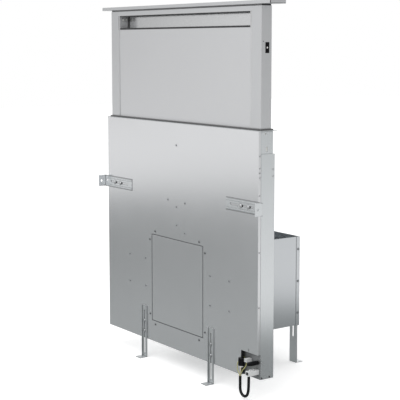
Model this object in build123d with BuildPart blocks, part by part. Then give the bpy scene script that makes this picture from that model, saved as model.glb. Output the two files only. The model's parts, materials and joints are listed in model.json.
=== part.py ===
from build123d import *
import math
import os

os.makedirs("parts", exist_ok=True)

# A telescopic downdraft vent: a flat chimney rises out of a slim housing that stands behind a
# cooktop, draws the air in through a slot and sends it to a blower in a box behind the housing.
# X runs along the wide face, the slot looks towards -Y, Z is up. The origin is on the floor,
# in the middle of the footprint. Sizes are in millimetres.

# ---- housing ----
housing_width = 834
housing_height = 736
housing_depth = 60
neck_depth = 54
cover_height = 668
foot_height = 64
sheet = 1.2
return_depth = 9
cover_seam = 0.8
channel_flange = 18
channel_slot = (31.4, 54)
channel_hole = (27, 9)
flange_thickness = 1.5
flange_overhang = 2
flange_rear_lip = 6
bottom_lip = 12

# ---- chimney, drawn raised ----
chimney_side_gap = 7
chimney_depth = 37.6
chimney_setback = 13.4
chimney_rise = 358
chimney_tail = 50
chimney_sheet = 1.2
border_width = 45.5
panel_recess = 2
top_rail_height = 15
slot_end_margin = 7.5
slot_height = 46
trim_depth = 3
trim_top = 3
trim_bottom = 5
trim_seat = 5
end_plate_boss = (11, 7)
end_plate_boss_places = (12.4, 24.6)
end_plate_boss_rise = 10
cap_overhang = 47.2
cap_depth = 58
cap_height = 10.5
cap_sheet = 1.5
cap_setback = 5.6
cap_fold = 12
cap_seam = 0.8
gasket_height = 4.5
gasket_inset = 2
seal_height = 4
seal_width = 4.5
seal_gap = 0.3
flange_gap = 1.5

# ---- blower cover opening and the fasteners on the wide face ----
access_width = 287
access_height = 290
access_bottom = 70.5
access_gap = 1.2
access_margin = 26
access_screw_inset = 19.5
access_screw_outset = 11.5
fastener_radius = 3.4
fastener_height = 1.4
washer_radius = 7
side_screw_radius = 2.6
top_rivet_drop = 71
return_screw_heights = (663, 628, 614, 600, 548.5, 381, 218)
centre_rivets = ((-48, 486), (47, 484), (0, 467.5), (0, 408.5), (46, 388.5))

# ---- blower box ----
box_width = 370
box_height = 294
box_depth = 300
box_bottom = 68
box_flange = 15
rear_cover_return = 14
partition_gap = 12
wheel_radius = 92
wheel_width = 88
wheel_clearance = 9
blade_count = 36
scroll_width = 104
scroll_start = 103
scroll_step = 13
scroll_throat = 43
mouth_drop = 4
axis_x = -22
axis_height = 136
inlet_step = 16
bell_depth = 8
motor_gap = 9
mount_ring_radius = 78
mount_boss_radius = 34
mount_arm_depth = 40
motor_radius = 52
motor_length = 78
shaft_radius = 5
shaft_clearance = 0.05
hub_hole_radius = 17

# ---- legs and wall brackets ----
near_leg_spacing = 377
near_leg_width = 28
near_leg_top = 112
near_slot_bottom = -52
far_leg_inset = 30
far_leg_width = 33
far_leg_top = 186
far_slot_bottom = 22
leg_sheet = 2
leg_rib = 5
foot_reach = 30
leg_slot_radius = 3.5
leg_slot_length = 148
leg_screw_radius = 3
near_screw_heights = (25, 60)
far_screw_heights = (100, 140)
bracket_reach = 20
bracket_length = 173
bracket_height = 38.5
bracket_middle = 511
bracket_sheet = 2
bracket_rib = 4
bracket_flange = 28
bracket_hole_radius = 4
bracket_slot_ends = (20, 136)
bracket_screw_places = (72, 108)
bracket_eye = (5, 3)
bracket_hole_y = 17

# ---- lift ----
screw_radius = 6
nut_radius = 14
nut_height = 26
gearmotor_width = 92
gearmotor_height = 62
rail_bottom = 120
rail_top_gap = 2
rail_gap = 0.4

crossbar_height = 14
crossbar_sheet = 1.5
nut_plate_half = 34
nut_plate_thickness = 4
filter_height = 270
filter_side = 60
filter_thickness = 7
filter_border = 12
filter_clear = 20

# ---- control in the chimney's right end ----
control_y = 35.2
control_heights = (246.4, 229.6)
window_size = 12.8
holder_width = 17
holder_height = 38
holder_depth = 9
button_gap = 0.3
button_proud = 0.1
button_length = 6
indicator_y = 21.3
indicator_height = 255.6
indicator_radius = 2

# ---- boxes behind the wide face ----
inner_box_x = 230.5
inner_box_height = 228
inner_box_size = (112, 108)
inner_box_depth = 34
rivet_spread = (48.5, 46.5)
louvre_pitch = 18

# ---- wiring corner ----
notch_width = 79
notch_height = 76
tray_depth = 12
wiring_slit_inset = 43.4
wiring_slit_rise = 7
cable_diameter = 8.5
lead_diameter = 2.4
plug_reach = 38
motor_plug_height = 15
elbow_radius = 9.5
elbow_height = 24

# ---- places worked out from the sizes ----
near_y = -(housing_depth + box_depth) / 2
neck_y = near_y + neck_depth
back_y = near_y + housing_depth
box_back_y = back_y + box_depth
base_z = foot_height
top_z = base_z + housing_height
half_width = housing_width / 2
far_leg_spacing = box_width - 2 * far_leg_inset
chimney_width = housing_width - 2 * chimney_side_gap
slot_width = chimney_width - 2 * (border_width + slot_end_margin)
cap_width = chimney_width + 2 * cap_overhang
filter_width = chimney_width / 2 - filter_clear - filter_side
notch_left = half_width - notch_width
bracket_outer = half_width + bracket_reach
bracket_inner = bracket_outer - bracket_length
bracket_slot = [bracket_inner + end for end in bracket_slot_ends]
bracket_screws_x = [bracket_inner + place for place in bracket_screw_places]
panel_height = housing_height - flange_thickness
chimney_half = chimney_width / 2
chimney_front_y = near_y + chimney_setback
chimney_back_y = chimney_front_y + chimney_depth
chimney_mid_y = (chimney_front_y + chimney_back_y) / 2
chimney_top_z = top_z + chimney_rise
chimney_bottom_z = top_z - chimney_tail
chimney_height = chimney_rise + chimney_tail
slot_top_z = chimney_top_z - top_rail_height
slot_bottom_z = slot_top_z - slot_height
slot_mid_z = (slot_top_z + slot_bottom_z) / 2
inner_box_z = base_z + inner_box_height
near_plane = Plane.XZ.offset(-near_y)
sides = ((-1, "left"), (1, "right"))


def wall_plane(y):
    """The vertical plane at this Y: sketch X is X, sketch Y is Z, and a negative extrude goes to +Y."""
    return Plane.XZ.offset(-y)


# ================================================================ housing
access_mid_z = base_z + access_bottom + access_height / 2
corner_x = access_width / 2
corner_z = access_height / 2
access_screws = [
    (x_side * (corner_x + x), access_mid_z + z_side * (corner_z + z))
    for x_side in (-1, 1)
    for z_side in (-1, 1)
    for x, z in ((-access_screw_inset, access_screw_outset), (access_screw_outset, -access_screw_inset))
]
bracket_z = base_z + bracket_middle
bracket_screws = [(side * x, bracket_z) for side in (-1, 1) for x in bracket_screws_x]
near_leg_screws = [
    (side * near_leg_spacing / 2, base_z + z) for side in (-1, 1) for z in near_screw_heights
]
far_leg_screws = [
    (side * far_leg_spacing / 2, base_z + z) for side in (-1, 1) for z in far_screw_heights
]
panel_rivets = [(0, top_z - top_rivet_drop)] + [(x, base_z + z) for x, z in centre_rivets]
panel_rivets += [
    (box_side * inner_box_x + x_side * rivet_spread[0], inner_box_z + z_side * rivet_spread[1])
    for box_side in (-1, 1)
    for x_side in (-1, 1)
    for z_side in (-1, 1)
]

# The visible wide face is one folded sheet with a narrow return down each side.
with BuildPart() as near_panel:
    with BuildSketch(Plane.XY.offset(base_z)):
        with Locations((0, near_y + return_depth / 2)):
            Rectangle(housing_width, return_depth)
        with Locations((0, near_y + sheet + return_depth / 2)):
            Rectangle(housing_width - 2 * sheet, return_depth, mode=Mode.SUBTRACT)
    extrude(amount=panel_height)
    with BuildSketch(near_plane):
        with Locations((0, access_mid_z)):
            Rectangle(access_width, access_height)
        with Locations((notch_left, base_z)):
            Rectangle(half_width - notch_left, notch_height, align=(Align.MIN, Align.MIN))
        with Locations(*bracket_screws, *near_leg_screws):
            Circle(leg_screw_radius)
        with Locations((half_width - wiring_slit_inset, base_z + notch_height + wiring_slit_rise)):
            SlotOverall(9, 3, rotation=90)
    extrude(amount=-return_depth, mode=Mode.SUBTRACT)
near_panel.part.label = "near_panel"
export_step(near_panel.part, "parts/near_panel.step")

# A C-shaped channel stands inside each end and carries the panels and the guide rails.
channel_depth = neck_depth - 2 * sheet
for side, side_name in sides:
    outer_x = side * (half_width - sheet)
    with BuildPart() as side_channel:
        with BuildSketch(Plane.XY.offset(base_z)):
            with Locations((outer_x, near_y + sheet + channel_depth / 2)):
                Rectangle(
                    channel_flange, channel_depth, align=(Align.MAX if side > 0 else Align.MIN, Align.CENTER)
                )
            with Locations((outer_x - side * sheet, near_y + sheet + channel_depth / 2)):
                Rectangle(
                    channel_flange,
                    channel_depth - 2 * sheet,
                    align=(Align.MAX if side > 0 else Align.MIN, Align.CENTER),
                    mode=Mode.SUBTRACT,
                )
        extrude(amount=panel_height)
        with BuildSketch(Plane.YZ.offset(outer_x - side * 2 * sheet)):
            with Locations((near_y + channel_slot[0], top_z - channel_slot[1])):
                SlotOverall(14, 6, rotation=90)
            with Locations((near_y + channel_hole[0], top_z - channel_hole[1])):
                Circle(2.5)
        extrude(amount=side * 3 * sheet, mode=Mode.SUBTRACT)
        if side > 0:
            with BuildSketch(Plane.XY.offset(base_z)):
                with Locations((half_width, near_y)):
                    Rectangle(
                        half_width - notch_left, tray_depth + sheet, align=(Align.MAX, Align.MIN)
                    )
            extrude(amount=notch_height + sheet, mode=Mode.SUBTRACT)
    side_channel.part.label = f"side_channel_{side_name}"
    export_step(side_channel.part, f"parts/side_channel_{side_name}.step")

# The back panel of the housing's neck, with the opening towards the blower box.
with BuildPart() as far_panel:
    with BuildSketch(wall_plane(neck_y - sheet)):
        with Locations((0, base_z + panel_height / 2)):
            Rectangle(housing_width - 2 * sheet, panel_height)
        with Locations((0, access_mid_z)):
            Rectangle(access_width, access_height, mode=Mode.SUBTRACT)
    extrude(amount=-sheet)
far_panel.part.label = "far_panel"
export_step(far_panel.part, "parts/far_panel.step")

# A shallow tray stiffens the back below the neck: edges and opening are folded to the far panel.
tray_lip = housing_depth - neck_depth
with BuildPart() as rear_tray:
    with BuildSketch(wall_plane(neck_y)):
        with Locations((0, base_z + cover_height / 2)):
            Rectangle(housing_width - 2 * sheet, cover_height)
        with Locations((0, access_mid_z)):
            Rectangle(access_width, access_height, mode=Mode.SUBTRACT)
    extrude(amount=-tray_lip)
    with BuildSketch(wall_plane(neck_y)):
        with Locations((0, base_z + cover_height / 2)):
            Rectangle(housing_width - 4 * sheet, cover_height - 2 * sheet)
        with Locations((0, access_mid_z)):
            Rectangle(access_width + 2 * sheet, access_height + 2 * sheet, mode=Mode.SUBTRACT)
    extrude(amount=-(tray_lip - sheet), mode=Mode.SUBTRACT)
rear_tray.part.label = "rear_tray"
export_step(rear_tray.part, "parts/rear_tray.step")

# A flat cover closes each end below the neck, up to the return of the wide face.
cover_front_y = near_y + return_depth + cover_seam
for side, side_name in sides:
    with BuildPart() as side_cover:
        with BuildSketch(Plane.YZ.offset(side * (half_width - sheet))):
            with Locations((cover_front_y, base_z)):
                Rectangle(back_y - cover_front_y, cover_height, align=(Align.MIN, Align.MIN))
            if side > 0:
                with Locations((cover_front_y, base_z)):
                    Rectangle(
                        near_y + tray_depth - cover_front_y,
                        notch_height,
                        align=(Align.MIN, Align.MIN),
                        mode=Mode.SUBTRACT,
                    )
        extrude(amount=side * sheet)
    side_cover.part.label = f"side_cover_{side_name}"
    export_step(side_cover.part, f"parts/side_cover_{side_name}.step")

# The floor of the housing is a tray with upturned lips, cut away in front of the wiring corner.
with BuildPart() as housing_floor:
    floor_width = housing_width - 4 * sheet
    floor_depth = channel_depth - 2 * sheet
    with BuildSketch(Plane.YZ):
        with Locations((near_y + 2 * sheet, base_z)):
            Rectangle(floor_depth, bottom_lip, align=(Align.MIN, Align.MIN))
        with Locations((near_y + 3 * sheet, base_z + sheet)):
            Rectangle(
                floor_depth - 2 * sheet, bottom_lip, align=(Align.MIN, Align.MIN), mode=Mode.SUBTRACT
            )
    extrude(amount=floor_width / 2, both=True)
    with BuildSketch(Plane.XY.offset(base_z)):
        with Locations((notch_left - sheet, near_y)):
            Rectangle(housing_width, tray_depth + sheet, align=(Align.MIN, Align.MIN))
    extrude(amount=bottom_lip, mode=Mode.SUBTRACT)
housing_floor.part.label = "housing_floor"
export_step(housing_floor.part, "parts/housing_floor.step")

# The flange that shows on the worktop frames the chimney.
with BuildPart() as top_flange:
    with BuildSketch(Plane.XY.offset(top_z - flange_thickness)):
        with Locations((0, near_y)):
            Rectangle(
                housing_width + 2 * flange_overhang,
                housing_depth + flange_rear_lip,
                align=(Align.CENTER, Align.MIN),
            )
        with Locations((0, chimney_mid_y)):
            Rectangle(
                chimney_width + 2 * flange_gap, chimney_depth + 2 * flange_gap, mode=Mode.SUBTRACT
            )
    extrude(amount=flange_thickness)
top_flange.part.label = "top_flange"
export_step(top_flange.part, "parts/top_flange.step")

with BuildPart() as wiper_seal:
    with BuildSketch(Plane.XY.offset(top_z)):
        with Locations((0, chimney_mid_y)):
            Rectangle(chimney_width + 2 * seal_width, chimney_depth + 2 * seal_width)
            Rectangle(
                chimney_width + 2 * seal_gap, chimney_depth + 2 * seal_gap, mode=Mode.SUBTRACT
            )
    extrude(amount=seal_height)
wiper_seal.part.label = "wiper_seal"
export_step(wiper_seal.part, "parts/wiper_seal.step")

# The plate that closes the second blower opening lies inside and is pressed out to fill it.
with BuildPart() as access_cover:
    with BuildSketch(wall_plane(near_y + sheet)):
        with Locations((0, access_mid_z)):
            Rectangle(access_width + 2 * access_margin, access_height + 2 * access_margin)
    extrude(amount=-sheet)
    with BuildSketch(near_plane):
        with Locations((0, access_mid_z)):
            Rectangle(access_width - 2 * access_gap, access_height - 2 * access_gap)
    extrude(amount=-sheet)
    with BuildSketch(wall_plane(near_y + sheet)):
        with Locations((0, access_mid_z)):
            Rectangle(access_width - 2 * access_margin, access_height - 2 * access_margin)
    extrude(amount=-sheet, mode=Mode.SUBTRACT)
access_cover.part.label = "access_cover"
export_step(access_cover.part, "parts/access_cover.step")

with BuildPart() as near_face_fasteners:
    with BuildSketch(near_plane):
        with Locations(*access_screws, *panel_rivets):
            Circle(fastener_radius)
    extrude(amount=fastener_height, taper=18)
near_face_fasteners.part.label = "near_face_fasteners"
export_step(near_face_fasteners.part, "parts/near_face_fasteners.step")

# Screws down each end: a row in the return of the wide face, and two pairs in the cover's edges.
return_spots = [(near_y + return_depth / 2, base_z + z) for z in return_screw_heights]
cover_spots = [(back_y - 5.5, base_z + cover_height - z) for z in (45.5, 65)]
cover_spots += [(near_y + 16, base_z + 51), (near_y + 16, base_z + 5), (back_y - 15, base_z + 5)]
with BuildPart() as side_cover_screws:
    for side, side_name in sides:
        side_face = Plane(origin=(side * half_width, 0, 0), x_dir=(0, 1, 0), z_dir=(side, 0, 0))
        spots = [(y, side * z) for y, z in return_spots + cover_spots]
        with BuildSketch(side_face):
            with Locations(*spots):
                Circle(side_screw_radius)
        extrude(amount=1.2, taper=18)
side_cover_screws.part.label = "side_cover_screws"
export_step(side_cover_screws.part, "parts/side_cover_screws.step")

# ================================================================ legs and brackets


def leg(middle_x, face_y, outward, width, top, slot_bottom):
    """A slotted channel leg with its foot turned outwards, standing against the face at face_y."""
    low = face_y if outward > 0 else face_y - leg_rib
    with BuildPart() as one_leg:
        with BuildSketch():
            with Locations((middle_x, low)):
                Rectangle(width, leg_rib, align=(Align.CENTER, Align.MIN))
            with Locations((middle_x, low + outward * leg_sheet)):
                Rectangle(
                    width - 2 * leg_sheet, leg_rib, align=(Align.CENTER, Align.MIN), mode=Mode.SUBTRACT
                )
        extrude(amount=base_z + top)
        with BuildSketch(wall_plane(face_y)):
            with Locations((middle_x, base_z + slot_bottom + leg_slot_length / 2)):
                SlotOverall(leg_slot_length, 2 * leg_slot_radius, rotation=90)
        extrude(amount=-outward * leg_rib, mode=Mode.SUBTRACT)
        with BuildSketch():
            with Locations((middle_x, face_y)):
                Rectangle(
                    width, foot_reach, align=(Align.CENTER, Align.MIN if outward > 0 else Align.MAX)
                )
        extrude(amount=leg_sheet)
    return one_leg.part


for side, side_name in sides:
    near_leg = leg(
        side * near_leg_spacing / 2, near_y, -1, near_leg_width, near_leg_top, near_slot_bottom
    )
    near_leg.label = f"near_leg_{side_name}"
    export_step(near_leg, f"parts/near_leg_{side_name}.step")
    far_leg = leg(side * far_leg_spacing / 2, box_back_y, 1, far_leg_width, far_leg_top, far_slot_bottom)
    far_leg.label = f"far_leg_{side_name}"
    export_step(far_leg, f"parts/far_leg_{side_name}.step")

# Each leg is clamped by two round-head screws that pass through its slot.
head_plane_near = wall_plane(near_y - leg_sheet)
head_plane_far = Plane(origin=(0, box_back_y + leg_sheet, 0), x_dir=(-1, 0, 0), z_dir=(0, 1, 0))
with BuildPart() as leg_screws:
    with BuildSketch(head_plane_near):
        with Locations(*near_leg_screws):
            Circle(6)
    extrude(amount=3, taper=25)
    with BuildSketch(head_plane_near):
        with Locations(*near_leg_screws):
            Circle(leg_screw_radius)
    extrude(amount=-(leg_sheet + sheet))
    with BuildSketch(head_plane_far):
        with Locations(*far_leg_screws):
            Circle(6)
    extrude(amount=3, taper=25)
    with BuildSketch(head_plane_far):
        with Locations(*far_leg_screws):
            Circle(leg_screw_radius)
    extrude(amount=-(leg_sheet + sheet))
leg_screws.part.label = "leg_screws"
export_step(leg_screws.part, "parts/leg_screws.step")

# A slotted strap on each side of the wide face, with its outer end turned out to meet a cabinet wall.
for side, side_name in sides:
    with BuildPart() as wall_bracket:
        with BuildSketch(Plane.XY.offset(bracket_z - bracket_height / 2)):
            with Locations((side * (bracket_inner + bracket_outer) / 2, near_y)):
                Rectangle(
                    bracket_outer - bracket_inner, bracket_sheet, align=(Align.CENTER, Align.MAX)
                )
            with Locations((side * (bracket_outer - bracket_sheet / 2), near_y)):
                Rectangle(bracket_sheet, bracket_flange, align=(Align.CENTER, Align.MAX))
        extrude(amount=bracket_height)
        with BuildSketch(wall_plane(near_y - bracket_sheet)):
            for edge in (-1, 1):
                rib_z = bracket_z + edge * (bracket_height / 2 - 1.5 * bracket_rib)
                with Locations((side * (bracket_inner + half_width) / 2, rib_z)):
                    SlotOverall(half_width - bracket_inner - bracket_rib, bracket_rib)
        extrude(amount=1.2)
        with BuildSketch(near_plane):
            with Locations((side * (bracket_slot[0] + bracket_slot[1]) / 2, bracket_z)):
                SlotOverall(bracket_slot[1] - bracket_slot[0], 2 * leg_slot_radius)
            with Locations((side * (half_width + bracket_eye[0]), bracket_z + bracket_eye[1])):
                Circle(bracket_hole_radius)
        extrude(amount=bracket_sheet + 1.2, mode=Mode.SUBTRACT)
        with BuildSketch(Plane.YZ.offset(side * bracket_outer)):
            with Locations((near_y - bracket_hole_y, bracket_z)):
                Circle(bracket_hole_radius)
        extrude(amount=-side * bracket_sheet, mode=Mode.SUBTRACT)
    wall_bracket.part.label = f"wall_bracket_{side_name}"
    export_step(wall_bracket.part, f"parts/wall_bracket_{side_name}.step")

bracket_head_plane = wall_plane(near_y - bracket_sheet)
with BuildPart() as bracket_clamp_screws:
    with BuildSketch(bracket_head_plane):
        with Locations(*bracket_screws):
            Circle(washer_radius)
    extrude(amount=1)
    with BuildSketch(wall_plane(near_y - bracket_sheet - 1)):
        with Locations(*bracket_screws):
            Circle(5.5)
    extrude(amount=3, taper=25)
    with BuildSketch(bracket_head_plane):
        with Locations(*bracket_screws):
            Circle(leg_screw_radius)
    extrude(amount=-(bracket_sheet + sheet))
bracket_clamp_screws.part.label = "bracket_clamp_screws"
export_step(bracket_clamp_screws.part, "parts/bracket_clamp_screws.step")

# ================================================================ blower box
box_bottom_z = base_z + box_bottom
box_top_z = box_bottom_z + box_height
box_mid_z = (box_bottom_z + box_top_z) / 2
box_half = box_width / 2
with BuildPart() as blower_box:
    with BuildSketch(Plane.XY.offset(box_bottom_z)):
        with Locations((0, back_y)):
            Rectangle(box_width, box_depth - sheet, align=(Align.CENTER, Align.MIN))
    extrude(amount=box_height)
    with BuildSketch(Plane.XY.offset(box_bottom_z + sheet)):
        with Locations((0, back_y + sheet)):
            Rectangle(box_width - 2 * sheet, box_depth, align=(Align.CENTER, Align.MIN))
    extrude(amount=box_height, mode=Mode.SUBTRACT)
    with BuildSketch(wall_plane(back_y)):
        with Locations((0, box_mid_z)):
            Rectangle(box_width - 2 * box_flange, box_height)
        with Locations((0, box_bottom_z)):
            Rectangle(box_width, box_flange, align=(Align.CENTER, Align.MIN), mode=Mode.SUBTRACT)
    extrude(amount=-sheet, mode=Mode.SUBTRACT)
    with BuildSketch(Plane.YZ.offset(box_half)):
        with Locations((back_y + box_depth - 6, box_top_z - 20)):
            SlotOverall(9, 5, rotation=90)
    extrude(amount=-box_width, mode=Mode.SUBTRACT)
blower_box.part.label = "blower_box"
export_step(blower_box.part, "parts/blower_box.step")

# The back of the box is a separate cover with a return over each side and under the bottom.
with BuildPart() as blower_rear_cover:
    with BuildSketch(wall_plane(box_back_y - rear_cover_return)):
        with Locations((0, box_bottom_z - sheet)):
            Rectangle(
                box_width + 2 * sheet, box_height + sheet, align=(Align.CENTER, Align.MIN)
            )
    extrude(amount=-rear_cover_return)
    with BuildSketch(wall_plane(box_back_y - rear_cover_return)):
        with Locations((0, box_bottom_z)):
            Rectangle(box_width, box_height, align=(Align.CENTER, Align.MIN))
    extrude(amount=-(rear_cover_return - sheet), mode=Mode.SUBTRACT)
    with BuildSketch(wall_plane(box_back_y)):
        with Locations(*far_leg_screws):
            Circle(leg_screw_radius)
    extrude(amount=sheet, mode=Mode.SUBTRACT)
blower_rear_cover.part.label = "blower_rear_cover"
export_step(blower_rear_cover.part, "parts/blower_rear_cover.step")

cover_screw_heights = (110, 215, 321)
with BuildPart() as blower_cover_screws:
    for side, side_name in sides:
        flange_face = Plane(
            origin=(side * (box_half + sheet), 0, 0), x_dir=(0, 1, 0), z_dir=(side, 0, 0)
        )
        spots = [
            (box_back_y - rear_cover_return / 2, side * (base_z + z)) for z in cover_screw_heights
        ]
        with BuildSketch(flange_face):
            with Locations(*spots):
                Circle(4)
        extrude(amount=2, taper=20)
blower_cover_screws.part.label = "blower_cover_screws"
export_step(blower_cover_screws.part, "parts/blower_cover_screws.step")

# ---- blower: partition with its bell mouth, scroll, wheel, motor ----
partition_y = back_y + partition_gap
scroll_front_y = partition_y + sheet
scroll_back_y = scroll_front_y + scroll_width
axis_z = box_bottom_z + axis_height
inlet_radius = wheel_radius - inlet_step
axis_spot = (axis_x, axis_z)

with BuildPart() as inlet_partition:
    with BuildSketch(wall_plane(partition_y)):
        with Locations((0, box_bottom_z + sheet)):
            Rectangle(
                box_width - 2 * sheet, box_height - 2 * sheet, align=(Align.CENTER, Align.MIN)
            )
    extrude(amount=-sheet)
    with BuildSketch(Plane.XY.offset(box_bottom_z + sheet)):
        with Locations((0, back_y + sheet)):
            Rectangle(box_width - 2 * sheet, partition_gap, align=(Align.CENTER, Align.MIN))
            Rectangle(
                box_width - 4 * sheet,
                partition_gap,
                align=(Align.CENTER, Align.MIN),
                mode=Mode.SUBTRACT,
            )
    extrude(amount=box_height - 2 * sheet)
    with BuildSketch(wall_plane(partition_y)):
        with Locations(axis_spot):
            Circle(inlet_radius + bell_depth)
    extrude(amount=-bell_depth)
    with BuildSketch(wall_plane(partition_y)):
        with Locations(axis_spot):
            Circle(inlet_radius + 0.75 * bell_depth)
    extrude(amount=-bell_depth, taper=35, mode=Mode.SUBTRACT)
inlet_partition.part.label = "inlet_partition"
export_step(inlet_partition.part, "parts/inlet_partition.step")

# The scroll grows by one step each quarter turn, then runs straight up to its mouth.
radii = [scroll_start + scroll_step * n for n in range(4)]
mouth_top_z = box_top_z - mouth_drop


def scroll_face(grow):
    """The side view of the scroll moved out by grow: quarter ellipses about the wheel's axis."""
    start, left, low, right = [radius + grow for radius in radii]
    mouth_left_x = axis_x + scroll_throat - grow
    with BuildSketch() as outline:
        with BuildLine():
            Polyline(
                (axis_x + right, axis_z),
                (axis_x + right, mouth_top_z),
                (mouth_left_x, mouth_top_z),
                (mouth_left_x, axis_z + start),
                (axis_x, axis_z + start),
            )
            EllipticalCenterArc(axis_spot, left, start, start_angle=90, arc_size=90)
            EllipticalCenterArc(axis_spot, left, low, start_angle=180, arc_size=90)
            EllipticalCenterArc(axis_spot, right, low, start_angle=270, arc_size=90)
        make_face()
    return outline.sketch


with BuildPart() as scroll:
    with BuildSketch(wall_plane(scroll_front_y)):
        add(scroll_face(0))
    extrude(amount=-scroll_width)
    with BuildSketch(wall_plane(scroll_front_y)):
        add(scroll_face(-sheet))
    extrude(amount=-(scroll_width - sheet), mode=Mode.SUBTRACT)
    with BuildSketch(wall_plane(scroll_back_y)):
        with Locations(axis_spot):
            Circle(hub_hole_radius)
    extrude(amount=2 * sheet, mode=Mode.SUBTRACT)
scroll.part.label = "scroll"
export_step(scroll.part, "parts/scroll.step")

# The wheel: forward-curved blades between a back plate with its hub and a front ring.
wheel_front_y = scroll_front_y + wheel_clearance
wheel_back_y = wheel_front_y + wheel_width
blade_depth = 17
blade_sheet = 0.9
with BuildSketch() as blade_profile:
    with BuildLine():
        blade_curve = ThreePointArc((0, 0), (-blade_depth / 2, 4.5), (-blade_depth, 3))
        offset(blade_curve, amount=blade_sheet / 2, side=Side.BOTH)
    make_face()
with BuildPart() as blower_wheel:
    with BuildSketch(wall_plane(wheel_back_y - 1.5)):
        with Locations(axis_spot):
            Circle(wheel_radius)
    extrude(amount=-1.5)
    with BuildSketch(wall_plane(wheel_back_y - 24)):
        with Locations(axis_spot):
            Circle(15)
    extrude(amount=-24)
    with BuildSketch(wall_plane(wheel_front_y)):
        with Locations(axis_spot):
            Circle(wheel_radius)
            Circle(wheel_radius - 8, mode=Mode.SUBTRACT)
    extrude(amount=-4)
    with BuildSketch(wall_plane(wheel_front_y + 3)):
        with Locations(axis_spot):
            with PolarLocations(wheel_radius - 1, blade_count):
                add(blade_profile.sketch)
    extrude(amount=-(wheel_width - 4))
    with BuildSketch(wall_plane(wheel_back_y - 24)):
        with Locations(axis_spot):
            Circle(shaft_radius)
    extrude(amount=-24, mode=Mode.SUBTRACT)
blower_wheel.part.label = "blower_wheel"
export_step(blower_wheel.part, "parts/blower_wheel.step")

motor_front_y = scroll_back_y + motor_gap
with BuildPart() as motor_shaft:
    with BuildSketch(wall_plane(wheel_back_y - 30)):
        with Locations(axis_spot):
            Circle(shaft_radius)
    extrude(amount=-(motor_front_y + motor_length - 10 - wheel_back_y + 30))
motor_shaft.part.label = "motor_shaft"
export_step(motor_shaft.part, "parts/motor_shaft.step")

with BuildPart() as blower_motor:
    with BuildSketch(wall_plane(motor_front_y)):
        with Locations(axis_spot):
            Circle(motor_radius)
    extrude(amount=-motor_length)
    fillet(blower_motor.edges().filter_by(GeomType.CIRCLE), radius=6)
    with BuildSketch(wall_plane(motor_front_y)):
        with Locations(axis_spot):
            Circle(shaft_radius + shaft_clearance)
    extrude(amount=-(motor_length - 6), mode=Mode.SUBTRACT)
blower_motor.part.label = "blower_motor"
export_step(blower_motor.part, "parts/blower_motor.step")

# Three arms carry the motor from a ring that is screwed to the back of the scroll.
with BuildPart() as motor_mount:
    with BuildSketch(wall_plane(scroll_back_y)):
        with Locations(axis_spot):
            Circle(mount_ring_radius)
            Circle(hub_hole_radius, mode=Mode.SUBTRACT)
    extrude(amount=-3)
    with BuildSketch(wall_plane(scroll_back_y)):
        with Locations(axis_spot):
            Circle(mount_boss_radius)
            Circle(hub_hole_radius, mode=Mode.SUBTRACT)
    extrude(amount=-(motor_front_y - scroll_back_y))
    with BuildSketch(wall_plane(scroll_back_y)):
        with Locations(axis_spot):
            Circle(mount_ring_radius - 12)
            Circle(motor_radius + 0.2, mode=Mode.SUBTRACT)
        with Locations(axis_spot):
            with PolarLocations(motor_radius + 30, 3, start_angle=30):
                Rectangle(60, 90, mode=Mode.SUBTRACT)
    extrude(amount=-mount_arm_depth)
motor_mount.part.label = "motor_mount"
export_step(motor_mount.part, "parts/motor_mount.step")

# ================================================================ lift
gearmotor_bottom_z = base_z + sheet
gearmotor_top_z = gearmotor_bottom_z + gearmotor_height
with BuildPart() as gearmotor:
    with BuildSketch(Plane.XY.offset(gearmotor_bottom_z)):
        with Locations((0, chimney_mid_y)):
            RectangleRounded(gearmotor_width, chimney_depth - 6, 5)
    extrude(amount=gearmotor_height - 22)
    with BuildSketch(Plane.XY.offset(gearmotor_bottom_z + gearmotor_height - 22)):
        with Locations((0, chimney_mid_y)):
            Circle(15)
    extrude(amount=22)
    with BuildSketch(Plane.YZ.offset(gearmotor_width / 2)):
        with Locations((chimney_mid_y, gearmotor_bottom_z + 20)):
            Circle(15)
    extrude(amount=70)
    with BuildSketch(Plane.XY.offset(gearmotor_top_z - 18)):
        with Locations((0, chimney_mid_y)):
            Circle(screw_radius + shaft_clearance)
    extrude(amount=18, mode=Mode.SUBTRACT)
gearmotor.part.label = "gearmotor"
export_step(gearmotor.part, "parts/gearmotor.step")

nut_bottom_z = chimney_bottom_z + 4
screw_top_z = nut_bottom_z + nut_height + 14
with BuildPart() as lead_screw:
    with BuildSketch(Plane.XY.offset(gearmotor_top_z - 17.5)):
        with Locations((0, chimney_mid_y)):
            Circle(screw_radius)
    extrude(amount=screw_top_z - gearmotor_top_z + 17.5)
    chamfer(lead_screw.faces().sort_by(Axis.Z)[-1].edges(), length=1.5)
lead_screw.part.label = "lead_screw"
export_step(lead_screw.part, "parts/lead_screw.step")

with BuildPart() as lift_nut:
    with BuildSketch(Plane.XY.offset(nut_bottom_z)):
        with Locations((0, chimney_mid_y)):
            Circle(nut_radius)
            Circle(screw_radius + shaft_clearance, mode=Mode.SUBTRACT)
    extrude(amount=nut_height)
lift_nut.part.label = "lift_nut"
export_step(lift_nut.part, "parts/lift_nut.step")

# A nylon rail in each side channel guides the chimney's end.
rail_thickness = half_width - 2 * sheet - chimney_half - rail_gap
with BuildPart() as guide_rails:
    for side, side_name in sides:
        with BuildSketch(Plane.XY.offset(base_z + rail_bottom)):
            with Locations((side * (chimney_half + rail_gap + rail_thickness / 2), chimney_mid_y)):
                Rectangle(rail_thickness, chimney_depth - 8)
        extrude(amount=panel_height - rail_bottom - rail_top_gap)
guide_rails.part.label = "guide_rails"
export_step(guide_rails.part, "parts/guide_rails.step")

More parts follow.
